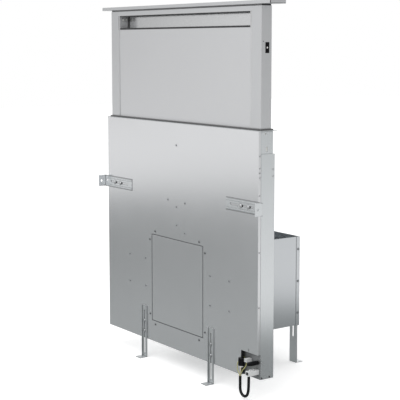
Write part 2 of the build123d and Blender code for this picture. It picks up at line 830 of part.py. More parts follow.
# ================================================================ chimney
# A C-shaped column at each end: border of the front, end face and a return behind.
column_return = 22
for side, side_name in sides:
    inward = Align.MAX if side > 0 else Align.MIN
    with BuildPart() as chimney_column:
        with BuildSketch(Plane.XY.offset(chimney_bottom_z)):
            with Locations((side * chimney_half, chimney_front_y)):
                Rectangle(border_width, chimney_sheet, align=(inward, Align.MIN))
                Rectangle(chimney_sheet, chimney_depth, align=(inward, Align.MIN))
            with Locations((side * chimney_half, chimney_back_y - chimney_sheet)):
                Rectangle(column_return, chimney_sheet, align=(inward, Align.MAX))
            with Locations((side * (chimney_half - border_width), chimney_front_y)):
                Rectangle(
                    chimney_sheet,
                    panel_recess + 2 * chimney_sheet,
                    align=(Align.MIN if side > 0 else Align.MAX, Align.MIN),
                )
        extrude(amount=chimney_height)
        if side > 0:
            with BuildSketch(Plane.YZ.offset(chimney_half)):
                with Locations(*[(near_y + control_y, top_z + z) for z in control_heights]):
                    Rectangle(window_size, window_size)
                with Locations((near_y + indicator_y, top_z + indicator_height)):
                    Circle(indicator_radius)
            extrude(amount=-chimney_sheet, mode=Mode.SUBTRACT)
    chimney_column.part.label = f"chimney_column_{side_name}"
    export_step(chimney_column.part, f"parts/chimney_column_{side_name}.step")

inner_half = chimney_half - border_width
with BuildPart() as chimney_top_rail:
    with BuildSketch(wall_plane(chimney_front_y)):
        with Locations((0, chimney_top_z)):
            Rectangle(2 * inner_half, top_rail_height, align=(Align.CENTER, Align.MAX))
    extrude(amount=-chimney_sheet)
    with BuildSketch(Plane.XY.offset(chimney_top_z - chimney_sheet)):
        with Locations((0, chimney_front_y)):
            Rectangle(2 * inner_half, chimney_depth - chimney_sheet, align=(Align.CENTER, Align.MIN))
    extrude(amount=chimney_sheet)
chimney_top_rail.part.label = "chimney_top_rail"
export_step(chimney_top_rail.part, "parts/chimney_top_rail.step")

with BuildPart() as chimney_rear_wall:
    with BuildSketch(wall_plane(chimney_back_y - chimney_sheet)):
        with Locations((0, chimney_bottom_z)):
            Rectangle(
                chimney_width - 2 * chimney_sheet, chimney_height, align=(Align.CENTER, Align.MIN)
            )
    extrude(amount=-chimney_sheet)
chimney_rear_wall.part.label = "chimney_rear_wall"
export_step(chimney_rear_wall.part, "parts/chimney_rear_wall.step")

# The lower front panel lies a little behind the borders; its top edge is folded in as a sill.
front_panel_y = chimney_front_y + panel_recess
with BuildPart() as front_panel:
    with BuildSketch(wall_plane(front_panel_y)):
        with Locations((0, chimney_bottom_z)):
            Rectangle(
                2 * inner_half, slot_bottom_z - chimney_bottom_z, align=(Align.CENTER, Align.MIN)
            )
    extrude(amount=-chimney_sheet)
    with BuildSketch(Plane.XY.offset(slot_bottom_z - chimney_sheet)):
        with Locations((0, front_panel_y)):
            Rectangle(2 * inner_half, 8, align=(Align.CENTER, Align.MIN))
    extrude(amount=chimney_sheet)
front_panel.part.label = "front_panel"
export_step(front_panel.part, "parts/front_panel.step")

# An end plate closes the air passage beside the slot; two oval bosses stand on it.
end_plate_x = slot_width / 2
plate_front_y = chimney_front_y + chimney_sheet
plate_back_y = chimney_back_y - chimney_sheet
with BuildPart() as slot_end_plates:
    for side, side_name in sides:
        with BuildSketch(Plane.YZ.offset(side * end_plate_x)):
            with Locations((front_panel_y + chimney_sheet + 8, slot_bottom_z - 6)):
                Rectangle(
                    plate_back_y - front_panel_y - chimney_sheet - 8,
                    slot_top_z - slot_bottom_z + 12,
                    align=(Align.MIN, Align.MIN),
                )
            with Locations((plate_front_y, slot_bottom_z)):
                Rectangle(plate_back_y - plate_front_y, slot_height, align=(Align.MIN, Align.MIN))
        extrude(amount=side * chimney_sheet)
        with BuildSketch(Plane.YZ.offset(side * end_plate_x)):
            with Locations((plate_front_y, slot_mid_z)):
                Rectangle(chimney_sheet, slot_height, align=(Align.MIN, Align.CENTER))
        extrude(amount=side * (inner_half - end_plate_x))
        inner_face = Plane(origin=(side * end_plate_x, 0, 0), x_dir=(0, 1, 0), z_dir=(-side, 0, 0))
        boss_z = slot_mid_z + end_plate_boss_rise
        spots = [(plate_front_y + y, -side * boss_z) for y in end_plate_boss_places]
        with BuildSketch(inner_face):
            with Locations(*spots):
                SlotOverall(*end_plate_boss, rotation=90)
        extrude(amount=1.5, taper=18)
slot_end_plates.part.label = "slot_end_plates"
export_step(slot_end_plates.part, "parts/slot_end_plates.step")

# Dark edge trims run along the slot: one behind the top rail's edge, one on the panel's sill.
with BuildPart() as slot_trims:
    with BuildSketch(wall_plane(chimney_front_y + chimney_sheet)):
        with Locations((0, slot_top_z)):
            Rectangle(slot_width, trim_top, align=(Align.CENTER, Align.MAX))
            Rectangle(slot_width, trim_seat, align=(Align.CENTER, Align.MIN))
        with Locations((0, slot_bottom_z)):
            Rectangle(slot_width, trim_bottom, align=(Align.CENTER, Align.MIN))
    extrude(amount=-trim_depth)
slot_trims.part.label = "slot_trims"
export_step(slot_trims.part, "parts/slot_trims.step")

# The bottom of the chimney is tied by an open frame that holds the lift nut.
crossbar_front_y = front_panel_y + chimney_sheet
crossbar_back_y = chimney_back_y - chimney_sheet
crossbar_width = 2 * inner_half - 1
with BuildPart() as crossbar:
    with BuildSketch(Plane.XY.offset(chimney_bottom_z)):
        with Locations((0, crossbar_front_y)):
            Rectangle(crossbar_width, crossbar_sheet, align=(Align.CENTER, Align.MIN))
        with Locations((0, crossbar_back_y)):
            Rectangle(crossbar_width, crossbar_sheet, align=(Align.CENTER, Align.MAX))
        with Locations((0, crossbar_front_y)):
            with GridLocations(crossbar_width / 4, 0, 4, 1):
                Rectangle(
                    crossbar_sheet, crossbar_back_y - crossbar_front_y, align=(Align.CENTER, Align.MIN)
                )
    extrude(amount=crossbar_height)
    with BuildSketch(Plane.XY.offset(chimney_bottom_z)):
        with Locations((0, crossbar_front_y)):
            Rectangle(
                2 * nut_plate_half, crossbar_back_y - crossbar_front_y, align=(Align.CENTER, Align.MIN)
            )
        with Locations((0, chimney_mid_y)):
            Circle(screw_radius + 1, mode=Mode.SUBTRACT)
    extrude(amount=nut_plate_thickness)
crossbar.part.label = "crossbar"
export_step(crossbar.part, "parts/crossbar.step")

# Two grease filters stand aslant in the air's way, one each side of the lead screw.
filter_low_z = chimney_bottom_z + crossbar_height + 4
filter_high_z = filter_low_z + filter_height
filter_front_y = front_panel_y + chimney_sheet
filter_back_y = chimney_back_y - chimney_sheet


def slanted_band(inset, trim):
    """The filter's side view: a band from the back wall up to the front panel, thinned by inset."""
    with BuildSketch() as band:
        with BuildLine():
            Polyline(
                (filter_back_y - filter_thickness + inset, filter_low_z + trim),
                (filter_back_y - inset, filter_low_z + trim),
                (filter_front_y + filter_thickness - inset, filter_high_z - trim),
                (filter_front_y + inset, filter_high_z - trim),
                close=True,
            )
        make_face()
    return band.sketch


for side, side_name in sides:
    middle_x = side * (filter_clear + filter_width / 2)
    with BuildPart() as grease_filter:
        with BuildSketch(Plane.YZ.offset(middle_x)):
            add(slanted_band(0, 0))
        extrude(amount=filter_width / 2, both=True)
        with BuildSketch(wall_plane(near_y)):
            with Locations((middle_x, (filter_low_z + filter_high_z) / 2)):
                Rectangle(filter_width - 2 * filter_border, filter_height - 2 * filter_border)
        extrude(amount=-housing_depth, mode=Mode.SUBTRACT)
        with BuildSketch(Plane.YZ.offset(middle_x)):
            add(slanted_band(filter_thickness / 3, 2))
        extrude(amount=filter_width / 2 - 2, both=True)
    grease_filter.part.label = f"grease_filter_{side_name}"
    export_step(grease_filter.part, f"parts/grease_filter_{side_name}.step")

# ---- cap ----
cap_bottom_z = chimney_top_z + gasket_height
with BuildPart() as cap_gasket:
    with BuildSketch(Plane.XY.offset(chimney_top_z)):
        with Locations((0, chimney_mid_y)):
            Rectangle(chimney_width - 2 * gasket_inset, chimney_depth - 2 * gasket_inset)
    extrude(amount=gasket_height)
cap_gasket.part.label = "cap_gasket"
export_step(cap_gasket.part, "parts/cap_gasket.step")

cap_front_y = near_y + cap_setback
cap_mid_y = cap_front_y + cap_depth / 2
with BuildPart() as top_cap:
    with BuildSketch(Plane.XY.offset(cap_bottom_z)):
        with Locations((0, cap_mid_y)):
            Rectangle(cap_width, cap_depth)
    extrude(amount=cap_height)
    top_edges = top_cap.faces().sort_by(Axis.Z)[-1].edges()
    chamfer(top_edges, length=0.6)
    with BuildSketch(Plane.XY.offset(cap_bottom_z + cap_sheet)):
        with Locations((0, cap_mid_y)):
            Rectangle(cap_width - 2 * cap_sheet, cap_depth - 2 * cap_sheet)
    extrude(amount=cap_height - 2 * cap_sheet, mode=Mode.SUBTRACT)
    with BuildSketch(Plane.XY.offset(cap_bottom_z)):
        with Locations((0, chimney_mid_y)):
            Rectangle(chimney_width - 2 * column_return, chimney_depth - 2 * cap_fold)
    extrude(amount=cap_sheet, mode=Mode.SUBTRACT)
    with BuildSketch(Plane.YZ.offset(-cap_width / 2)):
        with Locations((cap_front_y + cap_sheet, cap_bottom_z)):
            Rectangle(cap_seam, cap_height - cap_sheet, align=(Align.MIN, Align.MIN))
    extrude(amount=cap_sheet, mode=Mode.SUBTRACT)
    with BuildSketch(Plane.YZ.offset(cap_width / 2)):
        with Locations((cap_front_y + cap_sheet, cap_bottom_z)):
            Rectangle(cap_seam, cap_height - cap_sheet, align=(Align.MIN, Align.MIN))
    extrude(amount=-cap_sheet, mode=Mode.SUBTRACT)
top_cap.part.label = "top_cap"
export_step(top_cap.part, "parts/top_cap.step")

# ---- control: two push buttons in the right end face ----
window_y = near_y + control_y
window_spots = [(window_y, top_z + z) for z in control_heights]
holder_x = chimney_half - chimney_sheet
collar = 0.6
with BuildPart() as control_holder:
    with BuildSketch(Plane.YZ.offset(holder_x)):
        with Locations((window_y, top_z + sum(control_heights) / 2)):
            Rectangle(holder_width, holder_height)
    extrude(amount=-holder_depth)
    with BuildSketch(Plane.YZ.offset(holder_x)):
        with Locations(*window_spots):
            Rectangle(window_size, window_size)
    extrude(amount=chimney_sheet)
    with BuildSketch(Plane.YZ.offset(chimney_half)):
        with Locations(*window_spots):
            Rectangle(window_size - 2 * collar, window_size - 2 * collar)
    extrude(amount=-(chimney_sheet + holder_depth - 2), mode=Mode.SUBTRACT)
control_holder.part.label = "control_holder"
export_step(control_holder.part, "parts/control_holder.step")

button_size = window_size - 2 * collar - 2 * button_gap
for (spot_y, spot_z), button_name in zip(window_spots, ("up", "down")):
    with BuildPart() as button:
        with BuildSketch(Plane.YZ.offset(chimney_half + button_proud)):
            with Locations((spot_y, spot_z)):
                Rectangle(button_size, button_size)
        extrude(amount=-button_length)
        face_edges = button.faces().sort_by(Axis.X)[-1].edges()
        fillet(face_edges, radius=0.5)
    button.part.label = f"button_{button_name}"
    export_step(button.part, f"parts/button_{button_name}.step")

with BuildPart() as indicator_lens:
    with BuildSketch(Plane.YZ.offset(holder_x)):
        with Locations((near_y + indicator_y, top_z + indicator_height)):
            Circle(indicator_radius - 0.05)
    extrude(amount=chimney_sheet)
    with BuildSketch(Plane.YZ.offset(holder_x)):
        with Locations((near_y + indicator_y, top_z + indicator_height)):
            Circle(indicator_radius + 1.2)
    extrude(amount=-2)
indicator_lens.part.label = "indicator_lens"
export_step(indicator_lens.part, "parts/indicator_lens.step")

# ================================================================ electrical parts
# Boxes behind the wide face: the control on the left, the supply on the right.
for side, box_name in ((-1, "control_box"), (1, "supply_box")):
    with BuildPart() as inner_box:
        with BuildSketch(wall_plane(near_y + sheet)):
            with Locations((side * inner_box_x, inner_box_z)):
                Rectangle(*inner_box_size)
        extrude(amount=-inner_box_depth)
        with BuildSketch(wall_plane(near_y + sheet + inner_box_depth)):
            with Locations((side * inner_box_x, inner_box_z)):
                with GridLocations(0, louvre_pitch, 1, 4):
                    SlotOverall(0.6 * inner_box_size[0], 5)
        extrude(amount=1.5, mode=Mode.SUBTRACT)
    inner_box.part.label = box_name
    export_step(inner_box.part, f"parts/{box_name}.step")

# The wiring corner: a tray set back behind the notch, with the plugs standing out of it.
tray_y = near_y + tray_depth
tray_right = half_width - 2 * sheet
with BuildPart() as wiring_tray:
    with BuildSketch(wall_plane(near_y + sheet)):
        with Locations((notch_left - sheet, base_z)):
            Rectangle(
                tray_right - notch_left + sheet, notch_height + sheet, align=(Align.MIN, Align.MIN)
            )
    extrude(amount=-tray_depth)
    with BuildSketch(wall_plane(near_y + sheet)):
        with Locations((notch_left, base_z)):
            Rectangle(half_width, notch_height, align=(Align.MIN, Align.MIN))
    extrude(amount=-(tray_depth - sheet), mode=Mode.SUBTRACT)
wiring_tray.part.label = "wiring_tray"
export_step(wiring_tray.part, "parts/wiring_tray.step")

# The supply plug is a round, tapered moulding that stands straight out of the tray.
supply_plug_x = half_width - 14
supply_plug_z = base_z + 50
with BuildPart() as supply_plug:
    with BuildSketch(Plane.YZ.offset(supply_plug_x)):
        with BuildLine():
            Polyline(
                (tray_y, supply_plug_z + 5.5),
                (tray_y, supply_plug_z),
                (tray_y - plug_reach, supply_plug_z),
                (tray_y - plug_reach, supply_plug_z + 3.6),
            )
            ThreePointArc(
                (tray_y - plug_reach, supply_plug_z + 3.6),
                (tray_y - plug_reach / 2, supply_plug_z + 6.8),
                (tray_y, supply_plug_z + 5.5),
            )
        make_face()
    revolve(axis=Axis((supply_plug_x, tray_y, supply_plug_z), (0, 1, 0)))
supply_plug.part.label = "supply_plug"
export_step(supply_plug.part, "parts/supply_plug.step")

# The motor's plug is a rounded block; the jumper cable hangs from its underside.
motor_plug_x = half_width - 15.5
motor_plug_low_z = base_z + 14.5
with BuildPart() as motor_plug:
    with BuildSketch(wall_plane(tray_y)):
        with Locations((motor_plug_x, motor_plug_low_z + motor_plug_height / 2)):
            RectangleRounded(16, motor_plug_height, 2.5)
    extrude(amount=plug_reach)
    with BuildSketch(wall_plane(tray_y - plug_reach)):
        with Locations((motor_plug_x, motor_plug_low_z + motor_plug_height / 2)):
            with GridLocations(6, 0, 2, 1):
                Circle(1.8)
    extrude(amount=-6, mode=Mode.SUBTRACT)
    with BuildSketch(wall_plane(tray_y - 14)):
        with Locations((motor_plug_x, motor_plug_low_z + motor_plug_height)):
            Rectangle(8, 3, align=(Align.CENTER, Align.MIN))
    extrude(amount=14)
motor_plug.part.label = "motor_plug"
export_step(motor_plug.part, "parts/motor_plug.step")

lead_block_x = half_width - 47.5
lead_block_low_z = base_z + 47
with BuildPart() as lead_connector:
    with BuildSketch(wall_plane(tray_y)):
        with Locations((lead_block_x, lead_block_low_z)):
            Rectangle(12, 10, align=(Align.CENTER, Align.MIN))
    extrude(amount=20)
    with BuildSketch(wall_plane(tray_y - 20)):
        with Locations((lead_block_x, lead_block_low_z + 5)):
            with GridLocations(6, 0, 2, 1):
                Rectangle(4, 6)
    extrude(amount=-4, mode=Mode.SUBTRACT)
lead_connector.part.label = "lead_connector"
export_step(lead_connector.part, "parts/lead_connector.step")

# The elbow plug: a stub out of the tray carries an upright body with a light collar below it.
elbow_x = half_width - 64
elbow_y = near_y - 10
elbow_low_z = base_z + 34
with BuildPart() as elbow_plug:
    with BuildSketch(Plane.XY.offset(elbow_low_z)):
        with Locations((elbow_x, elbow_y)):
            Circle(elbow_radius)
    extrude(amount=elbow_height)
    fillet(elbow_plug.edges().filter_by(GeomType.CIRCLE).sort_by(Axis.Z)[-1], radius=3)
    with BuildSketch(wall_plane(tray_y)):
        with Locations((elbow_x, elbow_low_z + elbow_height / 2)):
            Circle(6.5)
    extrude(amount=tray_y - elbow_y)
    with BuildSketch(wall_plane(elbow_y - elbow_radius)):
        with Locations((elbow_x, elbow_low_z + elbow_height / 2)):
            with GridLocations(0, 5, 1, 3):
                Rectangle(3 * elbow_radius, 1.6)
    extrude(amount=-4, mode=Mode.SUBTRACT)
elbow_plug.part.label = "elbow_plug"
export_step(elbow_plug.part, "parts/elbow_plug.step")

collar_low_z = elbow_low_z - 5


def corner_radii(points):
    """The largest arcs that a route's runs allow: 0.45 of the shorter run over tan of half the turn."""
    runs = [Vector(*b) - Vector(*a) for a, b in zip(points, points[1:])]
    radii_found = []
    for before, after in zip(runs, runs[1:]):
        half_turn = math.radians(before.get_angle(after)) / 2
        radii_found.append(0.45 * min(before.length, after.length) / math.tan(half_turn))
    return radii_found


def tube(points, diameter):
    """A round lead along straight runs joined by tangent arcs, swept from its first point."""
    bends = corner_radii(points)
    print("bend radii", [round(bend, 1) for bend in bends])
    start = Plane(origin=points[0], z_dir=Vector(*points[1]) - Vector(*points[0]))
    with BuildPart() as lead:
        with BuildLine() as route:
            FilletPolyline(*points, radius=bends)
        with BuildSketch(start):
            Circle(diameter / 2)
        sweep(path=route.wires()[0])
    length = route.wires()[0].length
    print("length", round(length, 1), "volume", round(lead.part.volume, 1))
    print("section by length", round(math.pi * diameter**2 / 4 * length, 1))
    return lead.part


# The jumper cable hangs in a narrow loop from the end of its leads to the motor's plug.
jacket_x = half_width - 60.5
jacket_y = near_y - 17
jacket_z = base_z + 4
cable_route = [
    (jacket_x, jacket_y, jacket_z),
    (jacket_x, jacket_y, jacket_z - 22),
    (jacket_x + 0.7, jacket_y - 0.6, jacket_z - 43),
    (jacket_x + 11.5, jacket_y - 1.2, jacket_z - 55.7),
    (jacket_x + 29.5, jacket_y - 2, jacket_z - 56.5),
    (jacket_x + 41.5, jacket_y - 2.6, jacket_z - 43.8),
    (motor_plug_x, jacket_y - 3, motor_plug_low_z - 28.5),
    (motor_plug_x, jacket_y - 3, motor_plug_low_z),
]
jumper_cable = tube(cable_route, cable_diameter)
jumper_cable.label = "jumper_cable"
export_step(jumper_cable, "parts/jumper_cable.step")

# Single cores leave the cable's end. Two plain ones rise to the light collar under the elbow plug.
core_left = jacket_x - 1.5
core_right = jacket_x + 1.5
core_front = jacket_y - 1.5
core_back = jacket_y + 1.5
with BuildPart() as plain_cores:
    with BuildSketch(Plane.XY.offset(collar_low_z)):
        with Locations((elbow_x, elbow_y)):
            Circle(elbow_radius - 3)
    extrude(amount=elbow_low_z - collar_low_z)
    for shift, end_x, end_y in ((-2, core_left, core_back), (1, core_right, core_front)):
        core_route = [
            (elbow_x + shift, elbow_y - 3 - shift, collar_low_z),
            (elbow_x + shift, elbow_y - 3 - shift, collar_low_z - 8),
            (end_x, end_y, jacket_z + 8),
            (end_x, end_y, jacket_z),
        ]
        add(tube(core_route, lead_diameter))
plain_cores.part.label = "plain_cores"
export_step(plain_cores.part, "parts/plain_cores.step")

# Two earth cores: one hangs from the connector, one comes round the elbow plug from the tray.
earth_routes = [
    [
        (lead_block_x, tray_y - 15, lead_block_low_z),
        (lead_block_x, tray_y - 15, lead_block_low_z - 12),
        (core_right, core_back, jacket_z + 12),
        (core_right, core_back, jacket_z),
    ],
    [
        (notch_left + 3, tray_y, elbow_low_z + 18),
        (notch_left + 3, tray_y - 15, elbow_low_z + 18),
        (notch_left + 0.5, near_y - 14, elbow_low_z + 6),
        (notch_left + 6, near_y - 18.5, jacket_z + 16),
        (core_left, core_front, jacket_z + 7),
        (core_left, core_front, jacket_z),
    ],
]
with BuildPart() as earth_cores:
    for earth_route in earth_routes:
        add(tube(earth_route, lead_diameter))
earth_cores.part.label = "earth_cores"
export_step(earth_cores.part, "parts/earth_cores.step")
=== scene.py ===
import bmesh
import bpy
import json
import math
from mathutils import Matrix, Vector


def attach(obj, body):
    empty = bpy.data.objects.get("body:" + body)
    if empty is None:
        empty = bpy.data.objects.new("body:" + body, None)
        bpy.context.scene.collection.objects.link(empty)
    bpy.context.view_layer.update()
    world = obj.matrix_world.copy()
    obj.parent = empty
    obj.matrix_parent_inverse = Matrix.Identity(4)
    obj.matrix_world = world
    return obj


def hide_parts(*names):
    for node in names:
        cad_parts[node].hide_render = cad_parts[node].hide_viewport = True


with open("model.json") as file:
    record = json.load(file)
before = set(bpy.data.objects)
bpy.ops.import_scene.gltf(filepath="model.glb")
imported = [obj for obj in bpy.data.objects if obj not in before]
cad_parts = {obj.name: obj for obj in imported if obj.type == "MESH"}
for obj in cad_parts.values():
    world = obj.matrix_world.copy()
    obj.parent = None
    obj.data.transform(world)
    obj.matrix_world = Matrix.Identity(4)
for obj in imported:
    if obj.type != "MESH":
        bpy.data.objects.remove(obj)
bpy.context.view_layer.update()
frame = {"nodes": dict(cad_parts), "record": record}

# This scene gives the model its finishes, cords and small pieces, and sets the stage, lamps and camera.

# ---- places and sizes that repeat the model's, in metres ----
NEAR_Y = -0.180
BASE_Z = 0.064
HALF_WIDTH = 0.417
TRAY_Y = -0.168
CABLE_DIAMETER = 0.0085
CORE_DIAMETER = 0.0024

# ---- where a finish, a painted light or a painted shade changes on a piece, in metres ----
CAP_END_X = 0.4568
CAP_FOLD_Y = -0.1712
CAP_LOW_RIM_Z = 1.1648
CAP_HIGH_RIM_Z = 1.1712
COVER_SCREWS_X = 0.165
COVER_SCREWS_Z = 0.445
BLACK_SCREWS_Z = 0.085
FOOT_TOP_Z = 0.0035
BRACKET_LOW_SHADE_Z = 0.5579
BRACKET_HIGH_SHADE_Z = 0.5922
BRACKET_PLATE_Y = -0.1848

# ---- grain of a surface: how finely its noise repeats along X, Y and Z, and the noise's scale ----
EVEN = (1, 1, 1)
BRUSHED_LONG = ((0.6, 24, 24), 60.0)
BRUSHED_UP = ((24, 24, 0.6), 60.0)
DRAWN_UP = ((24, 24, 0.6), 200.0)
ROLLED = (EVEN, 300.0)
MACHINED = (EVEN, 400.0)
SPANGLED = (EVEN, 420.0)
PLATED = (EVEN, 500.0)
FINE = (EVEN, 900.0)

EDGE_RADIUS = 0.0012  # how far the edges of sheet look rounded
WAVE_LENGTH = 0.314  # between the bands of a wave texture of scale 1


def new_object(name, data):
    """An object with this data, linked into the scene."""
    made = bpy.data.objects.new(name, data)
    bpy.context.scene.collection.objects.link(made)
    return made


# ================================================================ node helpers
def new_material(name):
    """A new node material, its tree and its Principled shader."""
    material = bpy.data.materials.new(name)
    material.use_nodes = True
    tree = material.node_tree
    return material, tree, tree.nodes["Principled BSDF"]


def node(tree, kind, **values):
    """A new node; values set its properties, and those that are socket names set its inputs."""
    made = tree.nodes.new(kind)
    for key, value in values.items():
        if hasattr(made, key):
            setattr(made, key, value)
        else:
            made.inputs[key.replace("_", " ")].default_value = value
    return made


def own_place(tree):
    """The point's place in the piece's own coordinates."""
    return node(tree, "ShaderNodeTexCoord").outputs["Object"]


def stretched(tree, scale, turn=(0, 0, 0)):
    """The point's place stretched by scale and turned, so that a noise draws grain along one axis."""
    mapping = node(tree, "ShaderNodeMapping", Scale=scale, Rotation=turn)
    tree.links.new(own_place(tree), mapping.inputs["Vector"])
    return mapping.outputs["Vector"]


def noise(tree, scale, size, detail=4.0):
    """A noise of this size on stretched coordinates."""
    made = node(tree, "ShaderNodeTexNoise", Scale=size, Detail=detail, Roughness=0.55)
    tree.links.new(stretched(tree, scale), made.inputs["Vector"])
    return made.outputs["Fac"]


def ramp(tree, value, low, high, start=0.0, end=1.0):
    """A value between start and end mapped to a colour between low and high."""
    made = node(tree, "ShaderNodeValToRGB")
    made.color_ramp.elements[0].position = start
    made.color_ramp.elements[0].color = (*low, 1)
    made.color_ramp.elements[1].position = end
    made.color_ramp.elements[1].color = (*high, 1)
    tree.links.new(value, made.inputs["Fac"])
    return made.outputs["Color"]


def spread(tree, value, low, high, start=0.0, end=1.0):
    """A value between start and end mapped to a number between low and high."""
    made = node(tree, "ShaderNodeMapRange", From_Min=start, From_Max=end, To_Min=low, To_Max=high)
    tree.links.new(value, made.inputs["Value"])
    return made.outputs["Result"]


def steps(tree, value, stops):
    """A number that runs through stops, given as (place, height) in order of place, as value grows."""
    low, high = stops[0][0], stops[-1][0]
    made = node(tree, "ShaderNodeValToRGB")
    elements = made.color_ramp.elements
    ends = {0.0: 0, 1.0: -1}
    for place, height in stops:
        share = (place - low) / (high - low)
        stop = elements[ends[share]] if share in ends else elements.new(share)
        stop.color = (height, height, height, 1)
    tree.links.new(spread(tree, value, 0.0, 1.0, low, high), made.inputs["Fac"])
    return made.outputs["Color"]


def combined(tree, operation, first, second):
    """Two numbers put together by a mathematical operation."""
    made = node(tree, "ShaderNodeMath", operation=operation)
    tree.links.new(first, made.inputs[0])
    tree.links.new(second, made.inputs[1])
    return made.outputs["Value"]


def along(tree, vector, direction):
    """How far a vector goes along a direction."""
    made = node(tree, "ShaderNodeVectorMath", operation="DOT_PRODUCT")
    made.inputs[1].default_value = direction
    tree.links.new(vector, made.inputs[0])
    return made.outputs["Value"]


def scaled(tree, colour, factor):
    """The colour times a factor."""
    made = node(tree, "ShaderNodeVectorMath", operation="SCALE")
    tree.links.new(colour, made.inputs[0])
    tree.links.new(factor, made.inputs["Scale"])
    return made.outputs["Vector"]


def mixed_shader(tree, factor, plain, seen):
    """The plain shader where factor is 0 and the seen one where it is 1."""
    made = node(tree, "ShaderNodeMixShader")
    tree.links.new(factor, made.inputs["Fac"])
    tree.links.new(plain, made.inputs[1])
    tree.links.new(seen, made.inputs[2])
    return made.outputs["Shader"]


def bump(tree, shader, height, strength, distance, under=None):
    """Unevenness of a surface, laid on the normal under it where one is given."""
    made = node(tree, "ShaderNodeBump", Strength=strength, Distance=distance)
    tree.links.new(height, made.inputs["Height"])
    if under is not None:
        tree.links.new(under, made.inputs["Normal"])
    tree.links.new(made.outputs["Normal"], shader.inputs["Normal"])


def shade(colour, factor):
    """The colour times a factor, kept within white."""
    return tuple(min(1.0, channel * factor) for channel in colour)


def crevice_shade(tree, distance, low, openness=(0.35, 0.95), samples=8, alone=False):
    """Painted shade: a factor that falls from 1 to low where surfaces nearer than distance close the place
    in.
    """
    near = node(tree, "ShaderNodeAmbientOcclusion", samples=samples, only_local=alone, Distance=distance)
    return spread(tree, near.outputs["AO"], low, 1.0, *openness)


def deep_recess_shade(tree, reach, dark, alone=False):
    """The same painted shade for a deep recess, which is dark only where it is nearly closed."""
    return crevice_shade(tree, reach, dark, openness=(0.15, 0.85), samples=16, alone=alone)


# ================================================================ finishes
def sheet_metal(name, colour, roughness, grain, streak=0.04, metallic=0.9, close=(0.005, 0.30), marks=None):
    """Rolled or brushed sheet: fine grain along one axis, soft cloudiness, a slight unevenness, and painted
    shade where other surfaces close it in.
    """
    material, tree, shader = new_material(name)
    fine = noise(tree, *grain, detail=6.0)
    cloud = noise(tree, EVEN, 9.0, detail=3.0)
    both = node(tree, "ShaderNodeMix", data_type="FLOAT")
    both.inputs["Factor"].default_value = 0.35
    tree.links.new(fine, both.inputs["A"])
    tree.links.new(cloud, both.inputs["B"])
    mixed = both.outputs["Result"]
    tint = ramp(tree, mixed, shade(colour, 1 - streak), shade(colour, 1 + streak), 0.3, 0.7)
    if marks:
        tint = scaled(tree, tint, marks(tree))
    tree.links.new(scaled(tree, tint, crevice_shade(tree, *close)), shader.inputs["Base Color"])
    tree.links.new(spread(tree, mixed, roughness - 0.04, roughness + 0.04), shader.inputs["Roughness"])
    shader.inputs["Metallic"].default_value = metallic
    rounded = node(tree, "ShaderNodeBevel", samples=4, Radius=EDGE_RADIUS)
    bump(tree, shader, fine, 0.05, 0.0004, rounded.outputs["Normal"])
    return material


def shaded_recess_sheet(name, colour, roughness, reach, dark):
    """Sheet of a recess, painted shade: duller and darker than the outer faces, and darker still where it is
    closed in.
    """
    material, tree, shader = new_material(name)
    cloud = noise(tree, EVEN, 30.0)
    tint = ramp(tree, cloud, shade(colour, 0.92), shade(colour, 1.08), 0.3, 0.7)
    tree.links.new(scaled(tree, tint, deep_recess_shade(tree, reach, dark)), shader.inputs["Base Color"])
    tree.links.new(spread(tree, cloud, roughness - 0.05, roughness + 0.05), shader.inputs["Roughness"])
    shader.inputs["Metallic"].default_value = 0.8
    return material


def moulded(name, colour, roughness, gloss=0.5):
    """Moulded plastic or rubber with a fine skin texture and a little colour change."""
    material, tree, shader = new_material(name)
    fine = noise(tree, *FINE, detail=3.0)
    cloud = noise(tree, EVEN, 60.0, detail=2.0)
    tint = ramp(tree, cloud, shade(colour, 0.94), shade(colour, 1.06), 0.3, 0.7)
    tree.links.new(tint, shader.inputs["Base Color"])
    tree.links.new(spread(tree, fine, roughness - 0.06, roughness + 0.06), shader.inputs["Roughness"])
    shader.inputs["Metallic"].default_value = 0.0
    shader.inputs["Specular IOR Level"].default_value = gloss
    bump(tree, shader, fine, 0.25, 0.00008)
    return material


def woven_mesh(name, colour, roughness, pitch):
    """Knitted wire: two crossing sets of rounded wires, with painted shade in the gaps between them."""
    material, tree, shader = new_material(name)
    height = None
    for turn in (0.8, -0.8):
        wires = node(tree, "ShaderNodeTexWave", Scale=WAVE_LENGTH / pitch, Distortion=0.6, Detail_Scale=3.0)
        tree.links.new(stretched(tree, EVEN, (0, turn, 0)), wires.inputs["Vector"])
        wire = wires.outputs["Fac"]
        height = wire if height is None else combined(tree, "MAXIMUM", height, wire)
    tint = ramp(tree, height, shade(colour, 0.10), colour, 0.35, 0.8)
    tree.links.new(tint, shader.inputs["Base Color"])
    shader.inputs["Metallic"].default_value = 0.85
    shader.inputs["Roughness"].default_value = roughness
    bump(tree, shader, height, 0.6, 0.0006)
    return material


def threaded(name, colour, roughness, pitch):
    """A bright shaft with the rounded rings of a thread along Z, and painted shade in its grooves."""
    material, tree, shader = new_material(name)
    waves = node(tree, "ShaderNodeTexWave", bands_direction="Z", Scale=WAVE_LENGTH / pitch)
    tree.links.new(own_place(tree), waves.inputs["Vector"])
    thread = waves.outputs["Fac"]
    fine = noise(tree, *ROLLED)
    tint = ramp(tree, thread, shade(colour, 0.35), colour, 0.2, 0.7)
    tree.links.new(tint, shader.inputs["Base Color"])
    tree.links.new(spread(tree, fine, roughness - 0.05, roughness + 0.05), shader.inputs["Roughness"])
    shader.inputs["Metallic"].default_value = 0.9
    bump(tree, shader, thread, 0.8, 0.0008)
    return material
